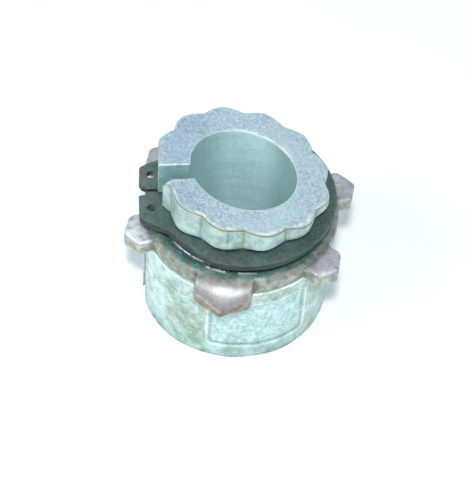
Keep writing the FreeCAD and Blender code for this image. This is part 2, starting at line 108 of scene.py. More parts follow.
def fbm(p, size, seed=0, octaves=3, gain=0.5):
    out, amp, total = np.zeros(len(p)), 1.0, 0.0
    for k in range(octaves):
        out += amp * vnoise(p + 17.3 * k, size / 2 ** k, seed + 31 * k)
        total += amp
        amp *= gain
    return out / total * 1.6


def smooth(x, a, b):
    t = np.clip((x - a) / (b - a), 0, 1)
    return t * t * (3 - 2 * t)


def spread(a, b, step, ends=0.12, reach=0.8, lo=True, hi=True):
    """Stations from a to b, about step apart, closer together near the ends."""
    n = 4000
    t = np.linspace(0, 1, n)
    x = a + (b - a) * t
    d = np.full(n, step, float)
    if lo:
        d = np.minimum(d, ends + (step - ends) * smooth(np.abs(x - a), 0, reach))
    if hi:
        d = np.minimum(d, ends + (step - ends) * smooth(np.abs(x - b), 0, reach))
    c = np.concatenate([[0], np.cumsum((1 / d[1:] + 1 / d[:-1]) / 2) * abs(b - a) / (n - 1)])
    m = max(2, int(round(c[-1])) + 1)
    return np.interp(np.linspace(0, c[-1], m), c, x)


def grid_quads(nu, nv, closed_u=False, closed_v=True, off=0):
    i = np.arange(nu if closed_u else nu - 1)[:, None]
    j = np.arange(nv if closed_v else nv - 1)[None, :]
    i2, j2 = (i + 1) % nu, (j + 1) % nv
    return np.stack([i * nv + j + 0 * j2, i2 * nv + j, i2 * nv + j2, i * nv + j2], -1).reshape(-1, 4) + off


def edges_of(quads):
    e = np.concatenate([quads[:, [0, 1]], quads[:, [1, 2]], quads[:, [2, 3]], quads[:, [3, 0]]])
    e = np.sort(e, 1)
    e = np.unique(e[:, 0].astype(np.int64) * 10000000 + e[:, 1])
    return np.stack([e // 10000000, e % 10000000], 1)


def relax(P, E, weight, times, lam=0.5):
    """Moves points towards their neighbours' mean where weight is above 0: worn, rounded edges."""
    n = len(P)
    a, b = E[:, 0], E[:, 1]
    deg = np.bincount(a, minlength=n) + np.bincount(b, minlength=n)
    for _ in range(times):
        M = np.stack([np.bincount(a, P[b, k], n) + np.bincount(b, P[a, k], n) for k in range(3)], 1) / deg[:, None]
        P = P + (M - P) * (lam * weight)[:, None]
    return P


def blur(x, E, times, n):
    a, b = E[:, 0], E[:, 1]
    deg = np.bincount(a, minlength=n) + np.bincount(b, minlength=n)
    for _ in range(times):
        x = 0.5 * x + 0.5 * (np.bincount(a, x[b], n) + np.bincount(b, x[a], n)) / deg
    return x


def normals_of(P, Q):
    d1, d2 = P[Q[:, 2]] - P[Q[:, 0]], P[Q[:, 3]] - P[Q[:, 1]]
    fn = np.cross(d1, d2)
    N = np.zeros_like(P)
    for k in range(4):
        for c in range(3):
            N[:, c] += np.bincount(Q[:, k], fn[:, c], len(P))
    return N / np.maximum(np.linalg.norm(N, axis=1), 1e-12)[:, None]


def bend_of(P, N, E):
    """Mean bend in 1/mm: above 0 on outer edges, below 0 in inner corners."""
    d = P[E[:, 1]] - P[E[:, 0]]
    k = ((N[E[:, 1]] - N[E[:, 0]]) * d).sum(1) / np.maximum((d * d).sum(1), 1e-9)
    n = len(P)
    deg = np.bincount(E[:, 0], minlength=n) + np.bincount(E[:, 1], minlength=n)
    return (np.bincount(E[:, 0], k, n) + np.bincount(E[:, 1], k, n)) / deg


def make_object(name, P, Q, attrs, mat, shade=True):
    me = bpy.data.meshes.new(name)
    me.vertices.add(len(P))
    me.vertices.foreach_set("co", (np.asarray(P, float) * MM).astype(np.float32).ravel())
    me.loops.add(len(Q) * 4)
    me.loops.foreach_set("vertex_index", Q.astype(np.int32).ravel())
    me.polygons.add(len(Q))
    me.polygons.foreach_set("loop_start", np.arange(0, len(Q) * 4, 4, dtype=np.int32))
    me.update(calc_edges=True)
    me.validate()
    # all faces wound outward; the vertices stay where they are
    bm = bmesh.new()
    bm.from_mesh(me)
    bmesh.ops.recalc_face_normals(bm, faces=bm.faces[:])
    bm.to_mesh(me)
    bm.free()
    for key, v in attrs.items():
        a = me.attributes.new(key, "FLOAT", "POINT")
        a.data.foreach_set("value", np.asarray(v, np.float32))
    if shade:
        me.polygons.foreach_set("use_smooth", np.ones(len(me.polygons), bool))
    ob = bpy.data.objects.new(name, me)
    bpy.context.scene.collection.objects.link(ob)
    me.materials.append(mat)
    return ob


def wear_attrs(P, Q, E, rounds=3):
    N = normals_of(P, Q)
    k = bend_of(P, N, E)
    k = blur(k, E, rounds, len(P))
    # convex edges: worn bright edges, also used as painted edge highlights
    wear_and_highlight = np.clip(k / 1.2, 0, 1)
    cavity = np.clip(-k / 0.8, 0, 1)
    return wear_and_highlight, blur(cavity, E, 2, len(P)), N


def slot_warp(theta, slot, ref_r, r, cols):
    """Shifts the columns near the slot so that its two faces are parallel planes."""
    d_ref = math.asin(HALF_SLOT / ref_r)
    d = np.arcsin(np.clip(HALF_SLOT / r, -1, 1))
    s = 1 - smooth(cols, 0, math.radians(14))          # cols: angle from the first slot face
    e = 1 - smooth(cols[::-1], 0, math.radians(14))
    return theta + (d - d_ref) * (s - e)


def cap(loop_ids, P, n_side, n_top):
    """A patch across the closed section loop: n_side rows up the outside, n_top across the
    top, n_side down the bore, n_top across the bottom. Returns new points and quads."""
    L = np.asarray(loop_ids)
    outer = L[:n_side]
    top = L[n_side:n_side + n_top]
    inner = L[n_side + n_top:2 * n_side + n_top][::-1]
    bottom = L[2 * n_side + n_top:][::-1]
    m = n_top + 2
    ids = -np.ones((n_side, m), int)
    ids[:, 0], ids[:, -1] = outer, inner
    ids[-1, 1:-1] = top
    ids[0, 1:-1] = bottom
    s = np.linspace(0, 1, n_side)[:, None, None]
    # stations along the top row set the spacing across
    span = np.linalg.norm(P[top] - P[outer[-1]], axis=1) / np.linalg.norm(P[inner[-1]] - P[outer[-1]])
    t = np.concatenate([[0], np.clip(span, 0, 1), [1]])[None, :, None]
    left, right = P[outer][:, None], P[inner][:, None]
    lo = P[ids[0]][None]
    hi = P[ids[-1]][None]
    c = ((1 - s) * lo + s * hi + (1 - t) * left + t * right
         - ((1 - s) * (1 - t) * P[outer[0]] + (1 - s) * t * P[inner[0]] + s * (1 - t) * P[outer[-1]] + s * t * P[inner[-1]]))
    new = c[1:-1, 1:-1].reshape(-1, 3)
    ids[1:-1, 1:-1] = len(P) + np.arange(len(new)).reshape(n_side - 2, m - 2)
    q = np.stack([ids[:-1, :-1], ids[:-1, 1:], ids[1:, 1:], ids[1:, :-1]], -1).reshape(-1, 4)
    return new, q


# ---------------------------------------------------------------- outer sleeve
def build_outer_sleeve(mat):
    ref = R_OUT
    d_ref = math.asin(HALF_SLOT / ref)
    a0, a1 = SLOT_OUT + d_ref, SLOT_OUT + 2 * math.pi - d_ref
    fine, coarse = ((0.2, 0.34))
    pa, pb = PANEL_A0 - 0.03, PANEL_A1 + 0.03
    while pa < a0:
        pa, pb = pa + 2 * math.pi, pb + 2 * math.pi
    seg = [spread(a0 * ref, pa * ref, coarse, fine * 0.6, 0.8), spread(pa * ref, pb * ref, fine, fine, 0.1)[1:],
           spread(pb * ref, a1 * ref, coarse, fine * 0.6, 0.8)[1:]]
    th = np.concatenate(seg) / ref
    nu = len(th)
    cols = th - a0

    # section stations: kind, parameter
    s0 = 0.13
    ws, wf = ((0.32, 0.13))
    wall = np.concatenate([spread(0.0, PANEL_LOW, ws, wf, 0.9), spread(PANEL_LOW, PANEL_HIGH, ws, wf, 0.9)[1:],
                           spread(PANEL_HIGH, SHOULDER, ws, wf, 0.9)[1:]])
    sh = spread(0, 1, 0.12, 0.04, 0.2)[1:]               # shoulder, from the wall to the neck
    neck = spread(SHOULDER, NECK_TOP, 0.45, s0, 0.5)[1:]
    n_side = len(wall) + len(sh) + len(neck)
    n_top = 7
    bz = np.concatenate([wall * (21.9 / SHOULDER), 21.9 + (22.6 - 21.9) * sh, 22.6 + (neck - SHOULDER) * (NECK_TOP - 22.6) / (NECK_TOP - SHOULDER)])[::-1]

    def wall_r(theta, rho, c):
        n = np.stack([np.cos(theta), np.sin(theta)], -1)
        k = n @ c
        return k + np.sqrt(rho * rho - c @ c + k * k)

    def place(theta_col, rho, c, z):
        r = wall_r(theta_col, rho, c)
        t = slot_warp(theta_col, SLOT_OUT, ref, r, cols)
        r = wall_r(t, rho, c)
        t = slot_warp(theta_col, SLOT_OUT, ref, r, cols)
        r = wall_r(t, rho, c)
        return np.stack([r * np.cos(t), r * np.sin(t), np.broadcast_to(z, r.shape)], -1)

    zero = np.zeros(2)
    rows, kind = [], []
    for z in wall:
        rows.append(place(th, R_OUT, zero, z)); kind.append(0)
    A = place(th, R_OUT, zero, SHOULDER)
    B = place(th, NECK_R, ECC, SHOULDER)
    for s in sh:
        rr = (1 - s) * np.hypot(A[:, 0], A[:, 1]) + s * np.hypot(B[:, 0], B[:, 1])
        t = slot_warp(th, SLOT_OUT, ref, rr, cols)
        rows.append(np.stack([rr * np.cos(t), rr * np.sin(t), np.full(nu, SHOULDER)], -1)); kind.append(1)
    for z in neck:
        rows.append(place(th, NECK_R, ECC, z)); kind.append(2)
    for k in range(n_top):
        s = (k + 1) / (n_top + 1)
        rows.append(place(th, NECK_R + (BORE_R - NECK_R) * s, ECC, NECK_TOP)); kind.append(3)
    for z in bz:
        rows.append(place(th, BORE_R, ECC, z)); kind.append(4)
    C = place(th, BORE_R, ECC, 0.0)
    D = place(th, R_OUT, zero, 0.0)
    for k in range(n_top):
        s = (k + 1) / (n_top + 1)
        rr = (1 - s) * np.hypot(C[:, 0], C[:, 1]) + s * np.hypot(D[:, 0], D[:, 1])
        t = slot_warp(th, SLOT_OUT, ref, rr, cols)
        rows.append(np.stack([rr * np.cos(t), rr * np.sin(t), np.zeros(nu)], -1)); kind.append(5)
    G = np.stack(rows, 1)                                # (nu, nv, 3)
    nv = G.shape[1]
    P = G.reshape(-1, 3)
    Q = grid_quads(nu, nv)
    kinds = np.tile(np.array(kind), nu)
    n1, q1 = cap(np.arange(nv), P, n_side, n_top)
    P2 = np.concatenate([P, n1])
    n2, q2 = cap((nu - 1) * nv + np.arange(nv), P2, n_side, n_top)
    P = np.concatenate([P2, n2])
    Q = np.concatenate([Q, q1, q2[:, ::-1]])
    kinds = np.concatenate([kinds, np.full(len(n1) + len(n2), 6)])
    E = edges_of(Q)

    # marking panel: pressed in, with rounded corners and a soft wall
    a = np.arctan2(P[:, 1], P[:, 0])
    a = np.where(a < 0, a + 2 * math.pi, a)
    am, ah = (PANEL_A0 + PANEL_A1) / 2, (PANEL_A1 - PANEL_A0) / 2
    x = (a - am) * R_OUT
    zc, zh = (PANEL_LOW + PANEL_HIGH) / 2, (PANEL_HIGH - PANEL_LOW) / 2
    qx, qz = np.abs(x) - (ah * R_OUT - PANEL_CORNER), np.abs(P[:, 2] - zc) - (zh - PANEL_CORNER)
    sd = np.minimum(np.maximum(qx, qz), 0) + np.hypot(np.maximum(qx, 0), np.maximum(qz, 0)) - PANEL_CORNER
    on_wall = kinds == 0
    wob = 0.07 * vnoise(P, 3.2, 5)
    inside = smooth(-(sd + wob), -0.12, 0.16)
    lip = np.exp(-((sd + wob - 0.34) / 0.20) ** 2)
    second = np.exp(-((sd + wob - 1.05) / 0.17) ** 2) * smooth(-P[:, 2], -PANEL_LOW, -PANEL_LOW + 0.5)
    floor = fbm(P, 2.2, 41, 3)
    press = np.where(on_wall, -0.40 * inside + 0.06 * lip * (0.7 + 0.4 * vnoise(P, 1.7, 9)) - 0.05 * second
                     + 0.045 * inside * floor, 0)

    # worn edges
    sharp = np.zeros(len(P))
    rim_rows = [0, len(wall) - 1, len(wall) + len(sh) - 1, n_side - 1, n_side + n_top, nv - n_top - 1]
    idx = np.arange(nu * nv)
    jj = idx % nv
    for r in rim_rows:
        d = np.minimum(np.abs(jj - r), nv - np.abs(jj - r))
        hard = 0.55 if r in (0, len(wall) - 1) else 1.0
        sharp[:nu * nv] = np.maximum(sharp[:nu * nv], hard * np.clip(1 - d / 4, 0, 1))
    edge = np.zeros(len(P))
    for r, wide in ((len(wall) - 1, 1.8), (n_side - 1, 1.7)):
        edge[:nu * nv] = np.maximum(edge[:nu * nv], np.exp(-((jj - r + 0.5) / wide) ** 2))
    neck_deg = np.degrees(np.arctan2(P[:, 1], P[:, 0])) % 360
    edge *= np.where(kinds >= 2, 0.12 + 0.88 * np.exp(-((neck_deg - 244) / 30) ** 4), 1.0)
    ii = idx // nv
    d = np.minimum(ii, nu - 1 - ii)
    sharp[:nu * nv] = np.maximum(sharp[:nu * nv], np.clip(1 - d / 4, 0, 1))
    sharp[nu * nv:] = 0.15
    vary = 0.75 + 0.35 * vnoise(P, 4.0, 77)
    P = relax(P, E, np.clip(sharp * vary, 0, 1), 5)

    N = normals_of(P, Q)
    cast = 0.022 * fbm(P, 1.4, 3, 3) + 0.060 * fbm(P, 5.5, 8, 2) + 0.03
    pits = -0.06 * smooth(vnoise(P, 0.9, 12), 0.62, 0.97)
    skin = np.where(on_wall, cast + pits, 0.0)
    skin = np.where(kinds == 2, -0.04 + 0.03 * fbm(P, 1.6, 4, 2), skin)
    skin = np.where(kinds == 3, -0.05 + 0.06 * fbm(P, 1.4, 6, 2), skin)
    skin = np.where(kinds == 5, -0.02 + 0.02 * fbm(P, 1.2, 14, 2), skin)
    skin = np.where(kinds == 6, -0.02 + 0.015 * fbm(P, 1.0, 15, 2), skin)
    near_rim = np.exp(-(P[:, 2] / 0.9) ** 2)
    nick = -0.16 * near_rim * smooth(vnoise(P, 2.4, 55), 0.35, 0.9) * on_wall
    soft = blur(np.clip(skin + nick, -0.3, 0.12) + press, E, 1, len(P))
    P = P + N * soft[:, None]
    P[:, 2] = np.maximum(P[:, 2], 0.0)
    wear_and_highlight, cavity, _ = wear_attrs(P, Q, E)
    # where the plating is stained: low on the left of the front, under the lugs, and here and there
    deg = np.degrees(np.arctan2(P[:, 1], P[:, 0])) % 360
    z = P[:, 2]
    stain = (1.0 * np.exp(-((deg - 243) / 15) ** 2 - ((z - 7.5) / 5.5) ** 2) + 0.6 * np.exp(-((deg - 300) / 20) ** 2 - ((z - 20.5) / 1.8) ** 2)
             + 0.55 * np.exp(-((deg - 228) / 10) ** 2 - ((z - 18.5) / 3.5) ** 2) + 0.5 * np.exp(-((deg - 332) / 11) ** 2 - ((z - 10) / 8) ** 2)
             + 0.45 * smooth(vnoise(P, 9.0, 150), 0.1, 0.7) * smooth(np.abs(deg - 275), 60, 85))
    stain = np.clip(1.15 * stain * smooth(fbm(P, 3.4, 151, 3), -0.45, 0.35), 0, 1)
    attrs = {"wear_and_highlight": wear_and_highlight, "cavity": cavity, "panel": blur(np.where(on_wall, inside, 0.0), E, 1, len(P)),
             "machined": np.where((kinds == 4), 1.0, 0.0), "slotface": np.where(kinds == 6, 1.0, 0.0), "edge": edge, "stain": stain,
             # painted shade on the neck under the retaining ring
             "neck": np.where((kinds == 2) | (kinds == 3), 1.0, 0.0),
             # painted light on the left of the wall
             "painted_left_light": np.exp(-((deg - 216) / 17) ** 4) * on_wall,
             # painted shade, darker towards the bottom of the wall
             "low": np.where(on_wall, 1 - smooth(P[:, 2], 1.0, 7.5), 0.0),
             # painted contact shadow along the bottom edge, then the mask for the painted highlight on the panel's lip
             "foot": np.where(on_wall, 1 - smooth(P[:, 2], 0.25, 0.85), 0.0), "bead": np.where(on_wall, lip, 0.0)}
    ob = make_object("outer_sleeve_cast", P, Q, attrs, mat)
    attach(ob, "outer"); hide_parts("outer_sleeve")
    return ob


# ---------------------------------------------------------------- plates bounded by two outlines
def arc_pts(c, r, t0, t1, step):
    n = max(2, int(abs(t1 - t0) * r / step) + 1)
    t = np.linspace(t0, t1, n)
    return np.stack([c[0] + r * np.cos(t), c[1] + r * np.sin(t)], 1)


def resample(pts, n, closed, weight=None):
    p = np.vstack([pts, pts[:1]]) if closed else pts
    d = np.linalg.norm(np.diff(p, axis=0), axis=1)
    s = np.concatenate([[0], np.cumsum(d)])
    t = np.linspace(0, s[-1], n + 1)[:-1] if closed else np.linspace(0, s[-1], n)
    return np.stack([np.interp(t, s, p[:, k]) for k in range(2)], 1)


def round_poly(pts, radii, step=0.15):
    """A polyline with its inner corners rounded: pts (n,2), radii per corner."""
    out = [np.array(pts[0], float)]
    for k in range(1, len(pts) - 1):
        a, b, c = (np.array(pts[k + i], float) for i in (-1, 0, 1))
        r = radii[k]
        if r <= 0:
            out.append(b)
            continue
        u, v = (a - b) / np.linalg.norm(a - b), (c - b) / np.linalg.norm(c - b)
        ang = math.acos(np.clip(u @ v, -1, 1))
        t = min(r / math.tan(ang / 2), 0.48 * np.linalg.norm(a - b), 0.48 * np.linalg.norm(c - b))
        r = t * math.tan(ang / 2)
        bis = (u + v) / np.linalg.norm(u + v)
        cen = b + bis * r / math.sin(ang / 2)
        p0, p1 = b + u * t, b + v * t
        t0, t1 = math.atan2(*(p0 - cen)[::-1]), math.atan2(*(p1 - cen)[::-1])
        while t1 - t0 > math.pi: t1 -= 2 * math.pi
        while t1 - t0 < -math.pi: t1 += 2 * math.pi
        out.extend(arc_pts(cen, r, t0, t1, step))
    out.append(np.array(pts[-1], float))
    return np.array(out)


def lug_outline():
    """Outer outline of the lug ring in its own frame, from one lug to the next."""
    out = []
    lugs = sorted(LUGS)
    for k, (deg, bent) in enumerate(lugs):
        a = math.radians(deg)
        w = FRONT_HALF if bent else LUG_HALF
        rc = FRONT_CORNER if bent else LUG_CORNER
        tip = FRONT_TIP if bent else LUG_TIP
        root = math.sqrt(RING_R ** 2 - w * w)
        half = math.asin(w / RING_R)
        pre = arc_pts((0, 0), RING_R, -half - 0.09, -half - 0.001, 0.2)
        post = arc_pts((0, 0), RING_R, half + 0.001, half + 0.09, 0.2)
        pts = [tuple(pre[0]), (root, -w), (rc, -w), (tip, 0.0), (rc, w), (root, w), tuple(post[-1])]
        pts = round_poly(pts, [0, 0.9, 0.7, 1.0, 0.7, 0.9, 0])
        rot = np.array([[math.cos(a), -math.sin(a)], [math.sin(a), math.cos(a)]])
        out.append(pts @ rot.T)
        deg2, bent2 = lugs[(k + 1) % len(lugs)]
        b0 = a + half + 0.09
        b1 = math.radians(deg2) - math.asin((FRONT_HALF if bent2 else LUG_HALF) / RING_R) - 0.09
        while b1 < b0:
            b1 += 2 * math.pi
        out.append(arc_pts((0, 0), RING_R, b0, b1, 0.2)[1:-1])
    return np.vstack(out)


def build_lug_ring(mat):
    step = 0.22
    raw = lug_outline()
    d = np.linalg.norm(np.diff(np.vstack([raw, raw[:1]]), axis=0), axis=1).sum()
    nu = int(d / step)
    out = resample(raw, nu, True)
    # matching points on the bore, by smoothed polar angle
    ang = np.unwrap(np.arctan2(out[:, 1], out[:, 0]))
    total = 2 * math.pi * (1 if ang[-1] > ang[0] else -1)
    dev = ang - (ang[0] + total * np.arange(nu) / nu)
    ker = np.hanning(max(9, int(3.0 / step) * 2 + 1)); ker /= ker.sum()
    dev = np.convolve(np.concatenate([dev[-len(ker):], dev, dev[:len(ker)]]), ker, "same")[len(ker):-len(ker)]
    base = ang[0] + total * np.arange(nu) / nu + dev
    inn = RING_BORE * np.stack([np.cos(base), np.sin(base)], 1)

    # how much each column belongs to the bent front lug
    af = math.radians(263.5)
    da = np.angle(np.exp(1j * (ang - af)))
    bent = 1 - smooth(np.abs(da), math.radians(16.3), math.radians(21.5))
    # how far into a lug: 1 on a lug, 0 on the plain ring
    r_out = np.hypot(out[:, 0], out[:, 1])

    top_r = np.array([RING_BORE, 19.0, 20.2, 21.1, 22.2, 23.0, 24.4, 25.9, 27.2])
    top_z = np.array([0, 0, -0.12, -0.40, -0.46, -0.50, -0.56, -0.64, -0.7])
    top_b = np.array([0, 0, -0.20, -0.60, -1.10, -1.60, -2.80, -4.3, -5.6])
    bot_r = np.array([RING_BORE, 21.6, 22.4, 23.2, 24.4, 25.9, 27.2])
    bot_z = np.array([0, 0, -0.2, -0.4, -0.62, -0.85, -1.0])
    bot_b = np.array([0, -0.0, -0.5, -1.3, -2.4, -3.15, -3.4])
    rr = np.linspace(RING_BORE, 27.2, 200)

    def curve(x, y, width=9):
        v = np.interp(rr, x, y)
        k = np.hanning(width); k /= k.sum()
        return np.convolve(np.pad(v, width, mode="edge"), k, "same")[width:-width]
    T0, T1, B0, B1 = curve(top_r, top_z, 15), curve(top_r, top_b, 15), curve(bot_r, bot_z), curve(bot_r, bot_b)

    def z_top(r, w):
        return RING_TOP + (1 - w) * np.interp(r, rr, T0) + w * np.interp(r, rr, T1)

    def z_bot(r, w):
        return RING_LOW + (1 - w) * np.interp(r, rr, B0) + w * np.interp(r, rr, B1)

    fine = 0.12
    st = spread(0, 1, 0.05, 0.018, 0.22)                 # radial stations, as a share
    sv = spread(0, 1, 0.09, 0.035, 0.25)
    rows, kind = [], []
    # bore wall, going down
    for s in np.linspace(0, 1, 9)[:-1]:
        z = RING_TOP + (RING_LOW - RING_TOP) * s
        rows.append(np.stack([inn[:, 0], inn[:, 1], np.full(nu, z)], 1)); kind.append(0)
    for s in spread(0, 1, 0.09, 0.035, 0.2):              # underside, outward
        q = inn + (out - inn) * s
        rows.append(np.stack([q[:, 0], q[:, 1], z_bot(np.hypot(q[:, 0], q[:, 1]), bent)], 1)); kind.append(1)
    zb, zt = z_bot(r_out, bent), z_top(r_out, bent) - (0.55 - 0.15 * smooth(r_out, RING_R + 0.2, 22.6) + 0.25 * bent)
    for s in sv[1:]:                                      # side, upward
        rows.append(np.stack([out[:, 0], out[:, 1], zb + (zt - zb) * s], 1)); kind.append(2)
    span = np.hypot(*(out - inn).T)
    lugcol = smooth(r_out, RING_R + 0.2, 22.6)
    for s in st[::-1][1:-1]:                              # top, inward
        q = inn + (out - inn) * s
        dist = (1 - s) * span                             # from the outline
        drop = np.clip(1 - dist / 1.5, 0, 1) ** 2 * (0.55 - 0.15 * lugcol + 0.25 * bent)
        rows.append(np.stack([q[:, 0], q[:, 1], z_top(np.hypot(q[:, 0], q[:, 1]), bent) - drop], 1)); kind.append(3)
    G = np.stack(rows, 1)
    nv = G.shape[1]
    P = G.reshape(-1, 3)
    # wound this way the section runs down the bore and up the outside
    Q = grid_quads(nu, nv, closed_u=True)
    if total < 0:
        Q = Q[:, ::-1]
    E = edges_of(Q)
    kinds = np.tile(np.array(kind), nu)
    jj = np.arange(len(P)) % nv
    rim = {int(np.argmax(np.array(kind) == 1)), int(np.argmax(np.array(kind) == 2)) - 1, int(np.argmax(np.array(kind) == 3)) - 1, 0}
    sharp = np.zeros(len(P))
    for r in rim:
        dd = np.minimum(np.abs(jj - r), nv - np.abs(jj - r))
        sharp = np.maximum(sharp, np.clip(1 - dd / (7 if r not in (0,) else 4), 0, 1))
    sharp = np.maximum(sharp, np.where(kinds >= 2, 0.25, 0.0))
    vary = 0.8 + 0.4 * vnoise(P, 3.0, 21)
    P = relax(P, E, np.clip(sharp * vary, 0, 1), 9)
    N = normals_of(P, Q)
    rad = np.hypot(P[:, 0], P[:, 1])
    free = smooth(rad, 18.3, 19.5) * np.where(kinds >= 2, 1.0, smooth(rad, 21.4, 22.4))
    lumps = 0.075 * fbm(P, 4.6, 90, 2) + 0.016 * fbm(P, 1.2, 91, 3)
    chips = -0.13 * smooth(vnoise(P, 1.6, 92), 0.55, 0.97) * smooth(rad, 22.6, 24.0) * np.where(kinds == 2, 1.0, 0.4)
    P = P + N * (free * np.clip(lumps + chips + 0.05, -0.3, 0.16))[:, None]
    wear_and_highlight, cavity, _ = wear_attrs(P, Q, E, 4)
    lugness = smooth(rad, 21.0, 22.2)
    P[:, 0] += ECC[0]
    P[:, 1] += ECC[1]
    bent_p = np.repeat(bent, nv)
    turn = (np.repeat(ang, nv) - af + math.pi) % (2 * math.pi) - math.pi
    # a band across the bent lug's slope that carries a painted highlight
    bend_highlight = np.exp(-((rad - 23.2 - 0.30 * vnoise(P, 2.5, 94)) / 1.35) ** 2 - (turn / 0.22) ** 4) * bent_p * (kinds == 3)
    attrs = {"wear_and_highlight": wear_and_highlight, "cavity": cavity, "lug": lugness, "side": np.where(kinds == 2, 1.0, 0.0),
             # next: painted shadow of the retaining ring near the bore, a painted highlight band on the bent lug,
             # painted glints on the bore's top edge, painted light on the left lug
             "inner": 1 - smooth(rad + 0.5 * vnoise(P, 1.6, 97), 19.0, 20.9), "bent": bent_p * smooth(rad, 19.5, 22.0), "bend_highlight": bend_highlight,
             "deep": np.where(kinds == 3, np.exp(-(np.clip(rad - RING_BORE, 0, None) / 0.75) ** 2), np.where(kinds == 0, 1.0, 0.0)),
             "spark": np.where(kinds == 3, np.exp(-((rad - RING_BORE - 0.62) / 0.34) ** 4), 0.0) * np.exp(-((np.degrees(np.repeat(ang, nv)) % 360 - 258) / 26) ** 4),
             "painted_left_light": np.exp(-((np.degrees(np.repeat(ang, nv)) % 360 - 208) / 18) ** 4) * smooth(rad, 21.2, 22.6)}
    attrs["side"] = blur(attrs["side"], E, 2, len(P))
    ob = make_object("lug_ring_forged", P, Q, attrs, mat)
    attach(ob, "outer"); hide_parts("lug_ring")
    return ob


# ---------------------------------------------------------------- retaining ring
def build_retaining_ring(mat):
    step = 0.2
    g, nw, nd = CLIP_GAP, CLIP_NOTCH_W, CLIP_NOTCH_D
    def polar(r, deg):
        return (r * math.cos(math.radians(deg)), r * math.sin(math.radians(deg)))
    waist = [polar(CLIP_WAIST, k) for k in (34, 40, 46, 52)] + [polar(CLIP_RO - 0.55, 62), polar(CLIP_RO, 72), polar(CLIP_RO, 80)]
    yn, yf = g - GAP_OFF, g + GAP_OFF                     # gap faces; the far ear is mirrored
    tail = [(EAR_REACH - 0.1, EAR_HALF), (EAR_REACH - 1.6, EAR_HALF + 1.1)] + waist
    near = [(EAR_REACH - nd, yn), (EAR_REACH - nd, yn + nw), (EAR_REACH, yn + nw)] + tail
    far = [(CLIP_RI - 0.2, yf), (EAR_REACH - nd, yf), (EAR_REACH - nd, yf + 0.4), (EAR_REACH - 0.45, yf + 0.85), (EAR_REACH, yf + FAR_CUT)] + tail
    tr = [0.7, 1.6, 2.6, 4.0, 4.0, 4.0, 5.0, 5.0, 0]
    up = round_poly(near, [0, 0.3, 0.3] + tr, 0.1)[:-1]
    lo = round_poly(far, [0, 0.15, 0.15, 0.3, 0.4] + tr, 0.1)[1:-1]
    b0 = math.atan2(up[-1][1], up[-1][0]) + 0.01
    b1 = math.atan2(lo[-1][1], lo[-1][0]) + 0.01
    ring = arc_pts((0, 0), CLIP_RO, b0, 2 * math.pi - b1, 0.2)
    raw = np.vstack([up, ring, lo[::-1] * np.array([1, -1])])
    d = np.linalg.norm(np.diff(raw, axis=0), axis=1).sum()
    nu = int(d / step)
    out = resample(raw, nu, False)
    # inner outline: from the gap face round to the other gap face
    ia, ib = math.asin(yn / CLIP_RI), math.asin(yf / CLIP_RI)
    ang = np.unwrap(np.arctan2(out[:, 1], out[:, 0]))
    t = (ang - ang[0]) / (ang[-1] - ang[0])
    ker = np.hanning(25); ker /= ker.sum()
    lin = np.linspace(0, 1, nu)
    dev = np.convolve(np.pad(t - lin, 25, mode="edge"), ker, "same")[25:-25]
    w = smooth(np.minimum(lin, 1 - lin), 0, 0.03)
    t = np.clip(lin + dev * w + (t - lin) * (1 - w), 0, 1)
    base = ia + (2 * math.pi - ib - ia) * t
    inn = CLIP_RI * np.stack([np.cos(base), np.sin(base)], 1)
    hs = spread(0, 1, 0.2, 0.07, 0.3)
    n_side = len(hs)
    st = spread(0, 1, 0.075, 0.03, 0.2)[1:-1]
    n_top = len(st)
    rows, kind = [], []
    for s in hs:
        rows.append(np.stack([out[:, 0], out[:, 1], np.full(nu, CLIP_LOW + CLIP_T * s)], 1)); kind.append(0)
    for s in st:
        q = out + (inn - out) * s
        rows.append(np.stack([q[:, 0], q[:, 1], np.full(nu, CLIP_LOW + CLIP_T)], 1)); kind.append(1)
    for s in hs[::-1]:
        rows.append(np.stack([inn[:, 0], inn[:, 1], np.full(nu, CLIP_LOW + CLIP_T * s)], 1)); kind.append(2)
    for s in st[::-1]:
        q = out + (inn - out) * s
        rows.append(np.stack([q[:, 0], q[:, 1], np.full(nu, CLIP_LOW)], 1)); kind.append(3)
    G = np.stack(rows, 1)
    nv = G.shape[1]
    P = G.reshape(-1, 3)
    Q = grid_quads(nu, nv)
    n1, q1 = cap(np.arange(nv), P, n_side, n_top)
    P2 = np.concatenate([P, n1])
    n2, q2 = cap((nu - 1) * nv + np.arange(nv), P2, n_side, n_top)
    P = np.concatenate([P2, n2])
    Q = np.concatenate([Q, q1, q2[:, ::-1]])
    kinds = np.concatenate([np.tile(np.array(kind), nu), np.full(len(n1) + len(n2), 4)])
    E = edges_of(Q)
    jj = np.arange(nu * nv) % nv
    sharp = np.zeros(len(P))
    for r, reach in ((0, 2), (n_side - 1, 3), (n_side + n_top, 2), (2 * n_side + n_top - 1, 2)):
        dd = np.minimum(np.abs(jj - r), nv - np.abs(jj - r))
        sharp[:nu * nv] = np.maximum(sharp[:nu * nv], np.clip(1 - dd / reach, 0, 1))
    P = relax(P, E, np.clip(sharp * (0.8 + 0.3 * vnoise(P, 2.0, 33)), 0, 1), 3)
    N = normals_of(P, Q)
    P = P + N * (np.clip(0.022 * fbm(P, 2.2, 60, 3) - 0.012, -0.05, 0.01) * np.where(kinds == 2, 0, 1))[:, None]
    wear_and_highlight, cavity, _ = wear_attrs(P, Q, E, 1)
    c, s = math.cos(CLIP_ANGLE), math.sin(CLIP_ANGLE)
    P = np.stack([P[:, 0] * c - P[:, 1] * s + ECC[0], P[:, 0] * s + P[:, 1] * c + ECC[1], P[:, 2]], 1)
    attrs = {"wear_and_highlight": wear_and_highlight, "cavity": cavity, "side": np.where((kinds == 0) | (kinds == 4), 1.0, 0.0),
             # painted shade towards the right
             "right_shade": smooth(P[:, 0], 7.0, 18.0)}
    ob = make_object("retaining_ring_stamped", P, Q, attrs, mat)
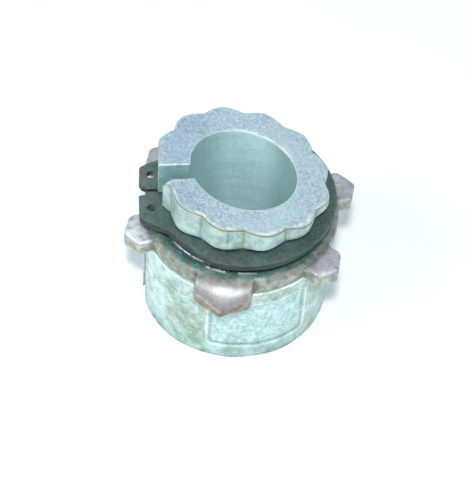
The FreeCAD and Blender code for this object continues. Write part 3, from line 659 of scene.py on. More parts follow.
    # the two plier holes
    for x, y in ((EAR_HOLE_X, EAR_HOLE_NEAR), (EAR_HOLE_X, EAR_HOLE_FAR)):
        bpy.ops.mesh.primitive_cylinder_add(vertices=40, radius=EAR_HOLE_R * MM, depth=4 * MM,
                                            location=((x * c - y * s + ECC[0]) * MM, (x * s + y * c + ECC[1]) * MM, (CLIP_LOW + CLIP_T / 2) * MM))
        cut = bpy.context.object
        cut.name = "hole_tool"
        m = ob.modifiers.new("hole", "BOOLEAN")
        m.operation, m.solver, m.object = "DIFFERENCE", "EXACT", cut
        bpy.context.view_layer.objects.active = ob
        ob.select_set(True)
        bpy.ops.object.modifier_apply(modifier=m.name)
        bpy.data.objects.remove(cut)
    ob.data.shade_smooth()
    ob.data.set_sharp_from_angle(angle=math.radians(50))
    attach(ob, "ring"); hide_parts("retaining_ring")
    return ob


# ---------------------------------------------------------------- inner sleeve
def head_radius(theta):
    """The twelve-lobed outline about the sleeve's axis, with softened notches."""
    step = 2 * math.pi / LOBES
    a = (theta - SLOT_IN + step / 2) % step - step / 2
    half = NOTCH_R * math.sin(step / 2)
    sag = CREST_R - NOTCH_R * math.cos(step / 2)
    rho = (half * half + sag * sag) / (2 * sag)
    c = CREST_R - rho
    r = c * np.cos(a) + np.sqrt(rho * rho - (c * np.sin(a)) ** 2)
    wave = (CREST_R + NOTCH_R) / 2 + 0.06 + (CREST_R - NOTCH_R) / 2 * np.cos(LOBES * a)
    return 0.35 * r + 0.65 * wave


def build_inner_sleeve(mat):
    ref = 17.6
    d_ref = math.asin(HALF_SLOT / ref)
    a0, a1 = SLOT_IN + d_ref, SLOT_IN + 2 * math.pi - d_ref
    step = 2 * math.pi / LOBES
    notch = [SLOT_IN + step * (k + 0.5) for k in range(LOBES)]
    cuts = [a0] + [n for n in notch if a0 + 0.02 < n < a1 - 0.02] + [a1]
    segs = []
    for k in range(len(cuts) - 1):
        s = spread(cuts[k] * ref, cuts[k + 1] * ref, 0.36, 0.16, 1.0)
        segs.append(s if k == 0 else s[1:])
    th = np.concatenate(segs) / ref
    nu = len(th)
    cols = th - a0

    u = np.array([math.cos(SLOT_IN), math.sin(SLOT_IN)])   # towards the slot, where the face is high
    b = np.array([-u[1], u[0]])

    def z_plane(x, y):
        return HEAD_Z + TILT * (x * u[0] + y * u[1])

    def bore_r(theta, z):
        n = np.stack([np.cos(theta), np.sin(theta)], -1)
        cz = -(z - HEAD_Z) * math.tan(BORE_TILT)           # bore centre along u
        A, B = STUD_R / math.cos(BORE_TILT), STUD_R
        nu_, nb = n @ u, n @ b
        qa = (nu_ / A) ** 2 + (nb / B) ** 2
        qb = -2 * nu_ * cz / A ** 2
        qc = cz ** 2 / A ** 2 - 1
        return (-qb + np.sqrt(qb * qb - 4 * qa * qc)) / (2 * qa)

    def put(rfun, z):
        r = rfun(th, z)
        for _ in range(3):
            t = slot_warp(th, SLOT_IN, ref, r, cols)
            r = rfun(t, z)
        return np.stack([r * np.cos(t), r * np.sin(t), np.broadcast_to(np.asarray(z, float), r.shape)], -1)

    const = lambda v: (lambda t, z: np.full(t.shape, float(v)))
    rows, kind = [], []
    for s in (0, 0.5):
        rows.append(put(const(SHANK_R - 0.6 + 0.6 * s), INNER_LOW + 0.6 * s)); kind.append(0)
    for z in spread(INNER_LOW + 0.6, GROOVE_LOW, 1.6, 0.2, 1.5):
        rows.append(put(const(SHANK_R), z)); kind.append(1)
    rows.append(put(const(16.3), GROOVE_LOW)); kind.append(2)
    for z in spread(GROOVE_LOW, GROOVE_HIGH, 0.7, 0.25, 0.8):
        rows.append(put(const(GROOVE_R), z)); kind.append(2)
    for s in spread(0, 1, 0.25, 0.1, 0.3)[1:-1]:
        rows.append(put(lambda t, z, s=s: GROOVE_R + (head_radius(t) - GROOVE_R) * s, GROOVE_HIGH)); kind.append(3)
    # head wall: from the underside to the inclined face
    rim = put(lambda t, z: head_radius(t), GROOVE_HIGH)
    ztop = z_plane(rim[:, 0], rim[:, 1])
    for s in spread(0, 1, 0.045, 0.020, 0.16):
        q = rim.copy()
        q[:, 2] = GROOVE_HIGH + (ztop - GROOVE_HIGH) * s
        rows.append(q); kind.append(4)
    n_side = len(rows)
    # top face, inward to the bore's edge
    z = np.full(nu, HEAD_Z)
    for _ in range(8):
        inner = put(bore_r, z)
        z = z_plane(inner[:, 0], inner[:, 1])
    inner[:, 2] = z
    R0, R1 = np.hypot(rim[:, 0], rim[:, 1]), np.hypot(inner[:, 0], inner[:, 1])
    st = spread(0, 1, 0.05, 0.02, 0.15)[1:-1]
    n_top = len(st)
    for s in st:
        r = R0 + (R1 - R0) * s
        t = slot_warp(th, SLOT_IN, ref, r, cols)
        x, y = r * np.cos(t), r * np.sin(t)
        rows.append(np.stack([x, y, z_plane(x, y)], -1)); kind.append(5)
    ztop_b = inner[:, 2]
    sb = spread(0, 1, 0.028, 0.006, 0.06)
    sb = np.interp(np.linspace(0, 1, n_side), np.linspace(0, 1, len(sb)), sb)
    for s in sb:
        zz = ztop_b + (INNER_LOW - ztop_b) * s
        rows.append(put(bore_r, zz)); kind.append(6)
    rows[n_side + n_top][:, :] = inner
    bot_in = rows[-1]
    bot_out = rows[0]
    B0, B1 = np.hypot(bot_in[:, 0], bot_in[:, 1]), np.hypot(bot_out[:, 0], bot_out[:, 1])
    for s in st:
        r = B0 + (B1 - B0) * s
        t = slot_warp(th, SLOT_IN, ref, r, cols)
        rows.append(np.stack([r * np.cos(t), r * np.sin(t), np.full(nu, INNER_LOW)], -1)); kind.append(7)
    G = np.stack(rows, 1)
    nv = G.shape[1]
    P = G.reshape(-1, 3)
    Q = grid_quads(nu, nv)
    n1, q1 = cap(np.arange(nv), P, n_side, n_top)
    P2 = np.concatenate([P, n1])
    n2, q2 = cap((nu - 1) * nv + np.arange(nv), P2, n_side, n_top)
    P = np.concatenate([P2, n2])
    Q = np.concatenate([Q, q1, q2[:, ::-1]])
    kinds = np.concatenate([np.tile(np.array(kind), nu), np.full(len(n1) + len(n2), 8)])
    E = edges_of(Q)
    n = len(P)

    theta = np.arctan2(P[:, 1], P[:, 0])
    rad = np.hypot(P[:, 0], P[:, 1])
    # how deep in a notch, on the head
    a = (theta - SLOT_IN + step / 2) % step - step / 2
    notchness = smooth(np.abs(a), math.radians(11.5), math.radians(15)) * np.where(np.isin(kinds, (3, 4, 5)), 1, 0) * smooth(rad, 16.2, 17.3)

    idx = np.arange(nu * nv)
    jj, ii = idx % nv, idx // nv
    sharp = np.zeros(n)
    for r, reach in ((n_side - 1, 5), (n_side + n_top, 4), (0, 2), (2 * n_side + n_top - 1, 2)):
        dd = np.minimum(np.abs(jj - r), nv - np.abs(jj - r))
        sharp[:nu * nv] = np.maximum(sharp[:nu * nv], np.clip(1 - dd / reach, 0, 1))
    k4 = np.array(kind)
    under = int(np.argmax(k4 == 4))
    dd = np.abs(jj - under)
    sharp[:nu * nv] = np.maximum(sharp[:nu * nv], np.clip(1 - dd / 4, 0, 1))
    dcol = np.minimum(ii, nu - 1 - ii)
    above = np.where(P[:nu * nv, 2] > GROOVE_HIGH - 0.1, 1.0, 0.3)
    sharp[:nu * nv] = np.maximum(sharp[:nu * nv], np.clip(1 - dcol / 4, 0, 1) * above)
    sharp[nu * nv:] = 0.12
    head = np.isin(kinds, (3, 4)) * 0.35
    sharp = np.maximum(sharp, head * notchness)
    vary = 0.75 + 0.45 * vnoise(P, 2.8, 71)
    P = relax(P, E, np.clip(sharp * vary, 0, 1), 6)

    N = normals_of(P, Q)
    wall = kinds == 4
    top = kinds == 5
    off = np.zeros(n)
    off = np.where(wall, 0.11 * fbm(P, 4.6, 101, 2) + 0.025 * fbm(P, 1.3, 102, 3) + 0.02, off)
    off = np.where(top, 0.022 * fbm(P, 0.9, 103, 3) + 0.05 * fbm(P, 5.0, 104, 2) - 0.02, off)
    off = np.where(kinds == 8, -0.02 + 0.02 * fbm(P, 1.0, 105, 2), off)
    off = np.where(kinds == 6, 0.012 * vnoise(P * np.array([1, 1, 0.15]), 0.7, 106) - 0.012, off)
    off = blur(np.clip(off, -0.25, 0.12), E, 1, n)
    # notches pressed a little deeper, unevenly
    off = off - np.where(wall | top, 0.07 * notchness * (1 + 0.8 * vnoise(P, 3.0, 108)), 0)
    # the front of the head swells a little more than the back
    off = off + np.where(wall, 0.14 * smooth(np.cos(theta - math.radians(285)), 0.1, 0.9) * smooth(P[:, 2], GROOVE_HIGH, GROOVE_HIGH + 1.2), 0)
    # folds in the casting skin: short upright creases on three lobes
    crease = np.zeros(n)
    tw = np.degrees(theta) % 360
    for t0, z0, z1, wide, deep in CREASES:
        line = np.exp(-(((tw - t0 - 0.5 * vnoise(P, 1.6, 140)) * math.radians(1) * CREST_R) / wide) ** 2)
        span = smooth(P[:, 2], z0 - 0.5, z0 + 0.4) * (1 - smooth(P[:, 2], z1 - 0.4, z1 + 0.5))
        crease = np.maximum(crease, np.where(wall, line * span * deep, 0))
    off = off - 0.16 * crease
    P = P + N * off[:, None]
    # the corner between rim and slot on the near side is knocked round
    k0 = P[n_side - 1]
    away = np.linalg.norm(P - k0, axis=1)
    out_dir = np.array([math.cos(a0), math.sin(a0), 0.0]) * 0.62 + np.array([-math.sin(a0), math.cos(a0), 0.0]) * -0.45 + np.array([0, 0, 0.64])
    P = P - (0.95 * np.exp(-(away / 1.35) ** 2))[:, None] * out_dir
    # burr: a thin ragged lip that the facing cut left along the rim, strongest at the front
    rim_d = np.zeros(n)
    rim_d[:nu * nv] = (jj - (n_side - 1))
    lipshape = np.exp(-((rim_d - 2.5) / 1.6) ** 2)
    lipshape[nu * nv:] = 0
    front = smooth(np.cos(theta - math.radians(262)), -0.2, 0.55)
    ragged = 0.5 + 0.5 * vnoise(P, 1.1, 110) + 0.3 * vnoise(P, 0.45, 111)
    burr = lipshape * np.clip(ragged, 0.05, 1.2) * (0.05 + 0.20 * front)
    P[:, 2] += burr
    # the slot's faces and the groove wall stay inside the groove's radius, clear of the retaining ring
    rr = np.hypot(P[:, 0], P[:, 1])
    held = np.isin(kinds, (2, 8)) & (P[:, 2] > GROOVE_LOW + 0.03) & (P[:, 2] < GROOVE_HIGH - 0.4) & (rr > GROOVE_R - 0.02)
    P[:, :2] *= np.where(held, (GROOVE_R - 0.02) / np.maximum(rr, 1e-6), 1.0)[:, None]
    wear_and_highlight, cavity, _ = wear_attrs(P, Q, E, 2)
    # the tan band just under the rim, at the front and left
    rimz = HEAD_Z + TILT * (P[:, 0] * u[0] + P[:, 1] * u[1])
    lip_attr = np.where(wall, np.exp(-((rimz - P[:, 2] - 0.35) / 0.55) ** 2), 0) * (0.35 + 0.65 * front)
    rimglint = np.zeros(n)
    near_bore = np.exp(-((jj - (n_side + n_top) + 1) / 2.6) ** 2) * np.exp(-((theta[:nu * nv] - math.radians(66)) / math.radians(40)) ** 4)
    near_slot = np.exp(-(dcol / 2.0) ** 2)
    rimglint[:nu * nv] = np.maximum(near_bore, near_slot) * top[:nu * nv]
    attrs = {"wear_and_highlight": wear_and_highlight, "cavity": cavity, "rimglint": rimglint,
             "topface": blur(np.where(top, 1.0, 0.0), E, 2, n),
             "bore": blur(np.where(kinds == 6, 1.0, 0.0), E, 1, n),
             "slotface": np.where(kinds == 8, 1.0, 0.0),
             "notch": np.clip(blur(notchness, E, 2, n), 0, 1),
             "burr": np.where(top, np.clip(burr * 6, 0, 1), 0.0) * front,
             "crease": crease,
             "lip": np.clip(lip_attr, 0, 1),
             "cool": np.where(top, smooth(-P[:, 0], 3.0, 13.0), 0.0),
             # painted shade on the bore's right and left sides
             "bore_shade": np.maximum(smooth(P[:, 0] - ECC[0], 2.5, 9.0), 0.8 * smooth(ECC[0] - P[:, 0], 3.0, 9.5)),
             "rimline": np.where(wall, np.exp(-((rimz - P[:, 2] - 0.13) / 0.16) ** 2), 0) * (0.25 + 0.75 * front),
             "shank": np.where(kinds <= 2, 1.0, 0.0)}
    P[:, 0] += ECC[0]
    P[:, 1] += ECC[1]
    ob = make_object("inner_sleeve_cast", P, Q, attrs, mat)
    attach(ob, "inner"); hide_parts("inner_sleeve")
    return ob


# ---------------------------------------------------------------- materials
def srgb(r, g, b):
    f = lambda c: (c / 255 / 12.92) if c / 255 <= 0.04045 else ((c / 255 + 0.055) / 1.055) ** 2.4
    return (f(r), f(g), f(b), 1.0)


class Tree:
    """A short way to write a node tree."""

    def __init__(self, name):
        self.mat = bpy.data.materials.new(name)
        self.mat.use_nodes = True
        self.t = self.mat.node_tree
        self.bsdf = self.t.nodes["Principled BSDF"]
        co = self.t.nodes.new("ShaderNodeTexCoord")
        self.obj = co.outputs["Object"]

    def new(self, kind, inputs=None, **props):
        n = self.t.nodes.new(kind)
        for k, v in props.items():
            setattr(n, k, v)
        for k, v in (inputs or {}).items():
            self.put(n.inputs[k], v)
        return n

    def put(self, socket, v):
        if isinstance(v, bpy.types.NodeSocket):
            self.t.links.new(v, socket)
        else:
            socket.default_value = v

    def attr(self, name):
        return self.new("ShaderNodeAttribute", attribute_name=name, attribute_type="GEOMETRY").outputs["Fac"]

    def scaled(self, x, y, z, rot=(0, 0, 0)):
        return self.new("ShaderNodeMapping", {"Vector": self.obj, "Scale": (x, y, z), "Rotation": rot}).outputs[0]

    def noise(self, size_mm, detail=3.0, rough=0.55, distort=0.0, vec=None, w=None):
        n = self.new("ShaderNodeTexNoise", {"Vector": vec or self.obj, "Scale": 1000.0 / size_mm, "Detail": detail,
                                            "Roughness": rough, "Distortion": distort}, noise_dimensions="3D")
        return n.outputs["Fac"]

    def voronoi(self, size_mm, feature="F1", vec=None, rand=1.0):
        return self.new("ShaderNodeTexVoronoi", {"Vector": vec or self.obj, "Scale": 1000.0 / size_mm, "Randomness": rand}, feature=feature).outputs["Distance"]

    def ramp(self, fac, stops, interp="LINEAR"):
        n = self.new("ShaderNodeValToRGB", {"Fac": fac})
        cr = n.color_ramp
        cr.interpolation = interp
        while len(cr.elements) > 1:
            cr.elements.remove(cr.elements[-1])
        cr.elements[0].position = stops[0][0]
        cr.elements[0].color = stops[0][1]
        for p, c in stops[1:]:
            e = cr.elements.new(p)
            e.color = c
        return n.outputs["Color"]

    def grey(self, fac, a, b, lo=0.0, hi=1.0):
        return self.new("ShaderNodeMapRange", {"Value": fac, "From Min": a, "From Max": b, "To Min": lo, "To Max": hi},
                        interpolation_type="SMOOTHSTEP" if True else "LINEAR", clamp=True).outputs["Result"]

    def mix(self, fac, a, b, mode="MIX"):
        n = self.new("ShaderNodeMix", data_type="RGBA", blend_type=mode, clamp_factor=True)
        self.put(n.inputs[0], fac)
        self.put(n.inputs[6], a)
        self.put(n.inputs[7], b)
        return n.outputs[2]

    def math(self, op, a, b=None, clamp=False):
        n = self.new("ShaderNodeMath", operation=op, use_clamp=clamp)
        self.put(n.inputs[0], a)
        if b is not None:
            self.put(n.inputs[1], b)
        return n.outputs[0]

    def bump(self, height, distance_mm, strength=1.0, normal=None):
        n = self.new("ShaderNodeBump", {"Height": height, "Distance": distance_mm * MM, "Strength": strength})
        if normal is not None:
            self.put(n.inputs["Normal"], normal)
        return n.outputs[0]

    def finish(self, color, rough, metallic, normal):
        self.put(self.bsdf.inputs["Base Color"], color)
        self.put(self.bsdf.inputs["Roughness"], rough)
        self.put(self.bsdf.inputs["Metallic"], metallic)
        self.put(self.bsdf.inputs["Normal"], normal)
        return self.mat


def zinc_body_material():
    t = Tree("zinc_body_stained")
    big = t.noise(6.5, 3, 0.5, 0.4)
    mid = t.noise(2.4, 4, 0.55, 0.3)
    fine = t.noise(0.8, 4, 0.6)
    grain = t.noise(0.3, 2, 0.6)
    base = t.ramp(big, [(0.36, srgb(144, 168, 152)), (0.5, srgb(178, 204, 194)), (0.64, srgb(200, 230, 227))])
    base = t.mix(0.55, base, t.ramp(mid, [(0.36, srgb(126, 152, 134)), (0.50, srgb(178, 204, 194)), (0.62, srgb(212, 243, 240))]))
    base = t.mix(0.32, base, t.ramp(fine, [(0.36, srgb(112, 146, 134)), (0.64, srgb(232, 252, 250))]))
    # painted light: the wall on the left is made lighter
    base = t.mix(t.math("MULTIPLY", t.attr("painted_left_light"), 0.7), base, t.ramp(mid, [(0.36, srgb(172, 202, 192)), (0.5, srgb(208, 238, 234)), (0.62, srgb(226, 252, 250))]))
    # tan and olive stains in soft patches
    stain_c = t.ramp(mid, [(0.32, srgb(112, 118, 86)), (0.5, srgb(142, 154, 126)), (0.68, srgb(176, 190, 162))])
    base = t.mix(t.math("MULTIPLY", t.attr("stain"), t.grey(fine, 0.25, 0.6, 0.45, 0.95)), base, stain_c)
    # the panel's floor is cleaner and cooler
    panel = t.attr("panel")
    pc = t.ramp(mid, [(0.30, srgb(158, 198, 196)), (0.5, srgb(186, 222, 221)), (0.70, srgb(214, 246, 245))])
    pc = t.mix(0.38, pc, t.ramp(fine, [(0.36, srgb(106, 150, 150)), (0.64, srgb(236, 255, 254))]))
    base = t.mix(t.math("MULTIPLY", panel, 0.85), base, pc)
    # painted highlight along the panel's raised lip
    base = t.mix(t.math("MULTIPLY", t.attr("bead"), t.grey(mid, 0.3, 0.6, 0.25, 0.75)), base, srgb(236, 252, 250))
    # a few dark specks of the cast skin
    speck = t.grey(t.voronoi(1.3), 0.12, 0.04)
    base = t.mix(t.math("MULTIPLY", speck, t.grey(big, 0.35, 0.6, 0.05, 0.40)), base, srgb(128, 146, 128))
    # grime in hollows
    base = t.mix(t.math("MULTIPLY", t.attr("cavity"), 0.8), base, srgb(92, 116, 106))
    # painted shade: darker towards the bottom of the wall
    base = t.mix(t.math("MULTIPLY", t.attr("low"), 0.70), base, t.ramp(mid, [(0.36, srgb(122, 152, 142)), (0.62, srgb(176, 210, 206))]))
    # painted contact shadow: a dark band along the bottom edge
    base = t.mix(t.math("MULTIPLY", t.attr("foot"), 0.95), base, srgb(44, 84, 82))
    # bare metal on worn edges, lightened also as a painted edge highlight
    wear_and_highlight = t.math("MULTIPLY", t.attr("wear_and_highlight"), t.grey(mid, 0.3, 0.6, 0.4, 1.0))
    base = t.mix(t.math("MULTIPLY", wear_and_highlight, 0.7), base, srgb(232, 246, 244))
    # painted shade: the neck under the retaining ring is made dark
    base = t.mix(t.math("MULTIPLY", t.attr("neck"), 0.92), base, t.mix(0.5, t.ramp(mid, [(0.34, srgb(26, 50, 50)), (0.66, srgb(60, 90, 88))]), t.ramp(fine, [(0.36, srgb(22, 44, 44)), (0.64, srgb(74, 106, 102))])))
    # glints on the shoulder and the top of the neck, broken into lengths
    glint = t.math("MULTIPLY", t.attr("edge"), t.grey(t.noise(3.4, 2, 0.5, 0.0), 0.45, 0.52, 0.05, 1.0))
    base = t.mix(glint, base, srgb(250, 255, 255))
    base = t.mix(t.math("MULTIPLY", t.attr("slotface"), 0.6), base, srgb(118, 145, 138))
    rough = t.grey(mid, 0.3, 0.7, 0.40, 0.56)
    rough = t.math("SUBTRACT", rough, t.math("MULTIPLY", t.math("MAXIMUM", wear_and_highlight, glint), 0.14))
    metal = t.math("SUBTRACT", 0.35, t.math("MULTIPLY", t.attr("stain"), 0.20))
    n1 = t.bump(fine, 0.035, 0.45)
    n2 = t.bump(grain, 0.012, 0.4, n1)
    return t.finish(base, rough, metal, n2)


def lug_material():
    t = Tree("lug_steel_worn")
    big = t.noise(5.0, 3, 0.55, 0.3)
    mid = t.noise(1.8, 4, 0.55, 0.3)
    fine = t.noise(0.6, 4, 0.6)
    base = t.ramp(big, [(0.34, srgb(142, 144, 146)), (0.52, srgb(166, 172, 178)), (0.70, srgb(192, 200, 205))])
    base = t.mix(0.40, base, t.ramp(mid, [(0.34, srgb(146, 142, 142)), (0.52, srgb(190, 196, 204)), (0.68, srgb(222, 228, 234))]))
    base = t.mix(0.20, base, t.ramp(fine, [(0.34, srgb(116, 120, 122)), (0.66, srgb(232, 232, 238))]))
    base = t.mix(t.grey(t.noise(2.6, 3, 0.55, 0.5), 0.50, 0.62, 0.0, 0.40), base, srgb(186, 166, 176))
    base = t.mix(t.grey(t.noise(3.0, 3, 0.55, 0.8), 0.52, 0.64, 0.0, 0.40), base, srgb(136, 160, 154))
    # painted light: the lug on the left is made lighter
    base = t.mix(t.math("MULTIPLY", t.attr("painted_left_light"), 0.75), base, t.ramp(mid, [(0.34, srgb(182, 184, 188)), (0.52, srgb(234, 242, 248)), (0.68, srgb(248, 252, 255))]))
    # the bent lug: a darker base as painted shade, and a painted highlight in a band across its bend, which is also
    # made smoother
    base = t.mix(t.math("MULTIPLY", t.attr("bent"), 0.85), base, t.ramp(big, [(0.34, srgb(124, 120, 116)), (0.66, srgb(152, 152, 150))]))
    base = t.mix(t.math("MULTIPLY", t.attr("bend_highlight"), 0.40), base, t.ramp(fine, [(0.34, srgb(178, 180, 184)), (0.66, srgb(222, 226, 230))]))
    # warm band round the ring's shoulder; next to the neck, dark teal as painted shadow of the retaining ring, darkest
    # at the bore
    plain = t.math("SUBTRACT", 1.0, t.attr("lug"), clamp=True)
    base = t.mix(t.math("MULTIPLY", plain, 0.85), base, t.ramp(mid, [(0.34, srgb(96, 96, 88)), (0.52, srgb(122, 126, 118)), (0.68, srgb(148, 154, 146))]))
    inner = t.attr("inner")
    base = t.mix(t.math("MULTIPLY", inner, 0.88), base, t.mix(0.5, t.ramp(mid, [(0.34, srgb(52, 108, 104)), (0.66, srgb(98, 158, 150))]), t.ramp(fine, [(0.36, srgb(44, 90, 88)), (0.64, srgb(116, 160, 154))])))
    base = t.mix(t.math("MULTIPLY", t.attr("deep"), 0.85), base, t.ramp(fine, [(0.36, srgb(22, 44, 42)), (0.64, srgb(60, 92, 88))]))
    # painted glints on the bore's top edge, at the front
    base = t.mix(t.math("MULTIPLY", t.attr("spark"), t.grey(t.noise(2.4, 2, 0.5, 0.0), 0.46, 0.54)), base, srgb(250, 255, 255))
    side = t.attr("side")
    base = t.mix(t.math("MULTIPLY", side, 0.85), base, t.ramp(mid, [(0.34, srgb(122, 122, 106)), (0.52, srgb(154, 162, 146)), (0.68, srgb(184, 198, 180))]))
    base = t.mix(t.math("MULTIPLY", t.math("MULTIPLY", side, t.attr("bent")), 0.6), base, t.ramp(mid, [(0.34, srgb(118, 94, 82)), (0.66, srgb(164, 146, 132))]))
    rust = t.math("MULTIPLY", t.grey(t.noise(1.3, 4, 0.65, 1.0), 0.60, 0.72), t.grey(side, 0.0, 0.6, 0.10, 0.7))
    base = t.mix(rust, base, srgb(128, 92, 66))
    # worn edges rubbed bright, also a painted edge highlight
    wear_and_highlight = t.math("MULTIPLY", t.math("MULTIPLY", t.attr("wear_and_highlight"), t.math("ADD", 0.30, t.math("MULTIPLY", t.attr("lug"), 0.70))), t.grey(t.noise(1.5, 3, 0.55, 0.2), 0.46, 0.60, 0.10, 1.0))
    base = t.mix(t.math("MULTIPLY", wear_and_highlight, 0.72), base, srgb(232, 240, 242))
    nick = t.math("MULTIPLY", t.grey(t.voronoi(1.1), 0.16, 0.06), t.math("MULTIPLY", side, t.grey(mid, 0.48, 0.58)))
    base = t.mix(t.math("MULTIPLY", nick, 0.9), base, srgb(244, 252, 250))
    base = t.mix(t.math("MULTIPLY", t.attr("cavity"), 0.8), base, srgb(52, 54, 48))
    rough = t.math("SUBTRACT", t.grey(mid, 0.3, 0.7, 0.42, 0.56), t.math("MULTIPLY", t.attr("bend_highlight"), 0.06))
    n1 = t.bump(mid, 0.03, 0.35)
    n2 = t.bump(fine, 0.02, 0.45, n1)
    return t.finish(base, rough, 0.42, n2)


def ring_material():
    t = Tree("spring_steel_dark")
    big = t.noise(4.0, 4, 0.6, 0.6)
    mid = t.noise(1.2, 4, 0.6, 0.4)
    fine = t.noise(0.4, 3, 0.6)
    base = t.ramp(big, [(0.34, srgb(58, 78, 74)), (0.5, srgb(80, 106, 101)), (0.68, srgb(100, 126, 120))])
    base = t.mix(0.35, base, t.ramp(mid, [(0.3, srgb(58, 76, 74)), (0.7, srgb(104, 124, 118))]))
    base = t.mix(0.26, base, t.ramp(fine, [(0.34, srgb(40, 54, 52)), (0.66, srgb(132, 156, 150))]))
    brown = t.ramp(mid, [(0.3, srgb(82, 86, 80)), (0.7, srgb(108, 112, 104))])
    base = t.mix(t.grey(t.noise(3.2, 4, 0.6, 0.6), 0.48, 0.62, 0.0, 0.45), base, brown)
    # painted shade: the ring's edge faces are made nearly black
    base = t.mix(t.math("MULTIPLY", t.attr("side"), 0.92), base, t.ramp(mid, [(0.3, srgb(14, 28, 26)), (0.7, srgb(38, 56, 52))]))
    wear_and_highlight = t.math("MULTIPLY", t.attr("wear_and_highlight"), t.grey(mid, 0.35, 0.6, 0.3, 1.0))
    # painted shade: darker towards the right
    base = t.mix(t.math("MULTIPLY", t.attr("right_shade"), 0.55), base, t.ramp(fine, [(0.34, srgb(36, 56, 53)), (0.66, srgb(78, 106, 100))]))
    # worn edges a little lighter, also a painted edge highlight
    base = t.mix(t.math("MULTIPLY", wear_and_highlight, 0.18), base, srgb(140, 160, 154))
    base = t.mix(t.math("MULTIPLY", t.attr("cavity"), 0.8), base, srgb(24, 30, 28))
    rough = t.grey(mid, 0.3, 0.7, 0.46, 0.60)
    n1 = t.bump(mid, 0.02, 0.4)
    n2 = t.bump(fine, 0.012, 0.5, n1)
    return t.finish(base, rough, 0.25, n2)


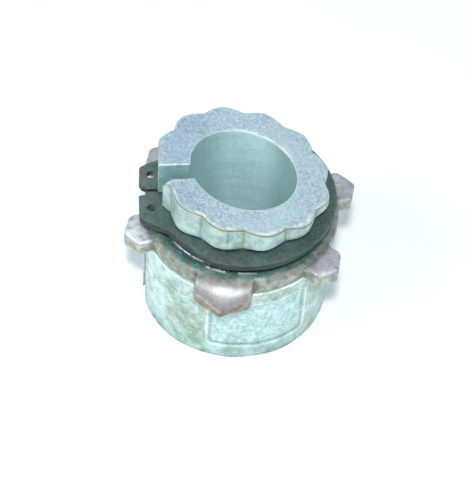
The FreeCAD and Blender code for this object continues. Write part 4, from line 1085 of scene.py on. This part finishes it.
def zinc_head_material():
    t = Tree("zinc_head_satin")
    big = t.noise(6.0, 3, 0.5, 0.5)
    mid = t.noise(2.0, 4, 0.55, 0.3)
    fine = t.noise(0.7, 4, 0.62)
    grain = t.noise(0.32, 2, 0.65)
    # walls: pale green-grey with soft mottling
    wall = t.ramp(big, [(0.34, srgb(146, 178, 176)), (0.5, srgb(162, 193, 191)), (0.68, srgb(180, 208, 202))])
    wall = t.mix(0.50, wall, t.ramp(mid, [(0.36, srgb(122, 152, 144)), (0.64, srgb(202, 230, 224))]))
    # machined top face: blue-grey with a fine light and lavender grain
    face = t.ramp(fine, [(0.32, srgb(126, 146, 172)), (0.46, srgb(170, 194, 206)), (0.56, srgb(190, 214, 220)), (0.70, srgb(236, 246, 250))])
    face2 = t.ramp(grain, [(0.32, srgb(136, 144, 190)), (0.5, srgb(184, 208, 216)), (0.68, srgb(238, 248, 250))])
    face = t.mix(0.45, face, face2)
    face = t.mix(t.grey(big, 0.46, 0.60, 0.0, 0.45), face, srgb(190, 222, 224))
    face = t.mix(t.math("MULTIPLY", t.attr("cool"), 0.45), face, t.ramp(fine, [(0.34, srgb(116, 132, 176)), (0.66, srgb(176, 202, 214))]))
    base = t.mix(t.attr("topface"), wall, face)
    # painted light: the bore is given a very pale colour so that its inside looks lit
    bore = t.ramp(t.noise(3.0, 4, 0.55, 0.2, vec=t.scaled(0.3, 0.3, 1.6)), [(0.3, srgb(190, 228, 233)), (0.5, srgb(206, 240, 243)), (0.7, srgb(218, 248, 250))])
    bore = t.mix(0.30, bore, t.ramp(fine, [(0.34, srgb(150, 194, 196)), (0.66, srgb(222, 246, 248))]))
    # painted shade on the bore's right and left sides
    bore = t.mix(t.math("MULTIPLY", t.attr("bore_shade"), 0.80), bore, t.ramp(mid, [(0.3, srgb(122, 156, 154)), (0.7, srgb(146, 180, 178))]))
    base = t.mix(t.attr("bore"), base, bore)
    base = t.mix(t.math("MULTIPLY", t.attr("slotface"), 0.75), base, t.ramp(mid, [(0.3, srgb(138, 180, 184)), (0.7, srgb(170, 210, 214))]))
    # yellow-tan stain in the notches and a tan band under the rim
    notch = t.attr("notch")
    stain = t.math("MULTIPLY", notch, t.grey(t.noise(2.2, 4, 0.6, 0.8), 0.35, 0.6, 0.25, 1.0))
    base = t.mix(t.math("MULTIPLY", stain, 0.28), base, srgb(176, 182, 152))
    patch = t.math("MULTIPLY", t.grey(t.noise(3.2, 3, 0.55, 0.6), 0.52, 0.64), t.math("SUBTRACT", 1.0, t.math("ADD", t.attr("topface"), t.attr("bore")), clamp=True))
    patch = t.math("MULTIPLY", patch, t.math("SUBTRACT", 1.0, t.attr("shank"), clamp=True))
    base = t.mix(t.math("MULTIPLY", patch, 0.42), base, srgb(206, 216, 188))
    lip = t.math("MULTIPLY", t.attr("lip"), t.grey(mid, 0.3, 0.6, 0.3, 1.0))
    base = t.mix(t.math("MULTIPLY", lip, 0.55), base, srgb(190, 192, 162))
    base = t.mix(t.math("MULTIPLY", t.attr("cavity"), 0.75), base, srgb(92, 104, 84))
    base = t.mix(t.math("MULTIPLY", t.attr("crease"), 0.75), base, srgb(96, 106, 82))
    # worn edges lighter, also a painted edge highlight
    wear_and_highlight = t.math("MULTIPLY", t.attr("wear_and_highlight"), t.grey(mid, 0.3, 0.6, 0.35, 1.0))
    base = t.mix(t.math("MULTIPLY", wear_and_highlight, 0.30), base, srgb(222, 236, 232))
    base = t.mix(t.math("MULTIPLY", t.attr("rimline"), 0.95), base, srgb(58, 64, 50))
    # painted glints along the burr on the rim, strongest at the front
    base = t.mix(t.math("MULTIPLY", t.attr("burr"), t.grey(t.noise(1.8, 2, 0.5), 0.42, 0.54, 0.08, 1.0)), base, srgb(253, 254, 246))
    base = t.mix(t.math("MULTIPLY", t.attr("rimglint"), t.grey(t.noise(2.0, 2, 0.5), 0.38, 0.52, 0.20, 1.0)), base, srgb(252, 255, 254))
    speck = t.grey(t.voronoi(0.9), 0.13, 0.04)
    base = t.mix(t.math("MULTIPLY", speck, t.grey(big, 0.4, 0.6, 0.05, 0.35)), base, srgb(120, 140, 140))
    rough = t.grey(mid, 0.3, 0.7, 0.38, 0.52)
    rough = t.math("SUBTRACT", rough, t.math("MULTIPLY", t.attr("burr"), 0.12))
    metal = t.math("SUBTRACT", 0.38, t.math("MULTIPLY", t.attr("bore"), 0.38))
    h = t.math("ADD", t.math("MULTIPLY", fine, 0.7), t.math("MULTIPLY", grain, 0.3))
    n1 = t.bump(h, 0.035, 0.45)
    return t.finish(base, rough, metal, n1)


def floor_material():
    t = Tree("pale_floor")
    n = t.noise(60.0, 3, 0.5)
    c = t.ramp(n, [(0.3, srgb(249, 252, 255)), (0.7, srgb(253, 254, 255))])
    t.bsdf.inputs["Specular IOR Level"].default_value = 0.2
    return t.finish(c, 0.85, 0.0, t.bump(t.noise(2.0, 3), 0.02, 0.2))


# ---------------------------------------------------------------- build
mats = {"body": zinc_body_material(), "lug": lug_material(), "ring": ring_material(), "head": zinc_head_material()}
build_outer_sleeve(mats["body"])
build_lug_ring(mats["lug"])
build_retaining_ring(mats["ring"])
build_inner_sleeve(mats["head"])
for node, mat in (("outer_sleeve", "body"), ("lug_ring", "lug"), ("retaining_ring", "ring"), ("inner_sleeve", "head")):
    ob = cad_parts[node]
    for s in ob.material_slots:
        s.material = mats[mat]
    if not ob.material_slots:
        ob.data.materials.append(mats[mat])

# ---------------------------------------------------------------- floor, light, camera
bpy.ops.mesh.primitive_grid_add(x_subdivisions=8, y_subdivisions=8, size=3.0, location=(0, 0, 0))
floor = bpy.context.object
floor.name = "studio_floor"
floor.data.materials.append(floor_material())


def area(name, loc, size, power, color=(1, 1, 1), aim=(0, 0, 0.02)):
    d = bpy.data.lights.new(name, "AREA")
    d.shape = "DISK"
    d.size = size
    d.energy = power
    d.color = color
    o = bpy.data.objects.new(name, d)
    bpy.context.scene.collection.objects.link(o)
    o.location = loc
    o.rotation_euler = (Vector(aim) - Vector(loc)).to_track_quat("-Z", "Y").to_euler()
    return o


area("key", (-0.008, -0.285, 0.485), 0.05, 1.85, (1.0, 0.985, 0.96))
area("side_left", (-0.42, -0.16, 0.40), 0.28, 1.25, (0.93, 0.97, 1.0))
area("side_right", (0.42, -0.14, 0.40), 0.30, 0.85, (0.93, 0.97, 1.0))
area("back", (-0.05, 0.42, 0.50), 0.35, 0.40, (0.90, 0.96, 1.0))
world = bpy.data.worlds.new("soft_world")
world.use_nodes = True
bg = world.node_tree.nodes["Background"]
bg.inputs["Color"].default_value = (0.80, 0.90, 1.0, 1.0)
bg.inputs["Strength"].default_value = 0.34
bpy.context.scene.world = world

U = 0.02064
el, roll, tx, ty, f = 0.877, 0.075, 0.803, 3.127, 1867.66
fwd = Vector((0, math.cos(el), -math.sin(el)))
right0 = Vector((1, 0, 0))
up0 = Vector((0, math.sin(el), math.cos(el)))
rv = math.cos(roll) * right0 + math.sin(roll) * up0
uv = -math.sin(roll) * right0 + math.cos(roll) * up0
d = Vector((tx / f, -ty / f, 1.0)).normalized()
C = (-(rv * d[0] + uv * d[1] + fwd * d[2]) * 20.0 + Vector((0, 0, 0.7))) * U
cam_d = bpy.data.cameras.new("camera")
cam_d.sensor_fit = "HORIZONTAL"
cam_d.sensor_width = 36.0
cam_d.lens = f / 472.0 * 36.0
cam_d.clip_start = 0.01
cam_d.clip_end = 20.0
cam = bpy.data.objects.new("camera", cam_d)
bpy.context.scene.collection.objects.link(cam)
M = Matrix.Identity(4)
for k in range(3):
    M[k][0], M[k][1], M[k][2], M[k][3] = rv[k], uv[k], -fwd[k], C[k]
cam.matrix_world = M
bpy.context.scene.camera = cam

vs = bpy.context.scene.view_settings
vs.view_transform = "Standard"
vs.look = "None"
vs.exposure = 0.0
vs.gamma = 1.0

bpy.context.view_layer.update()
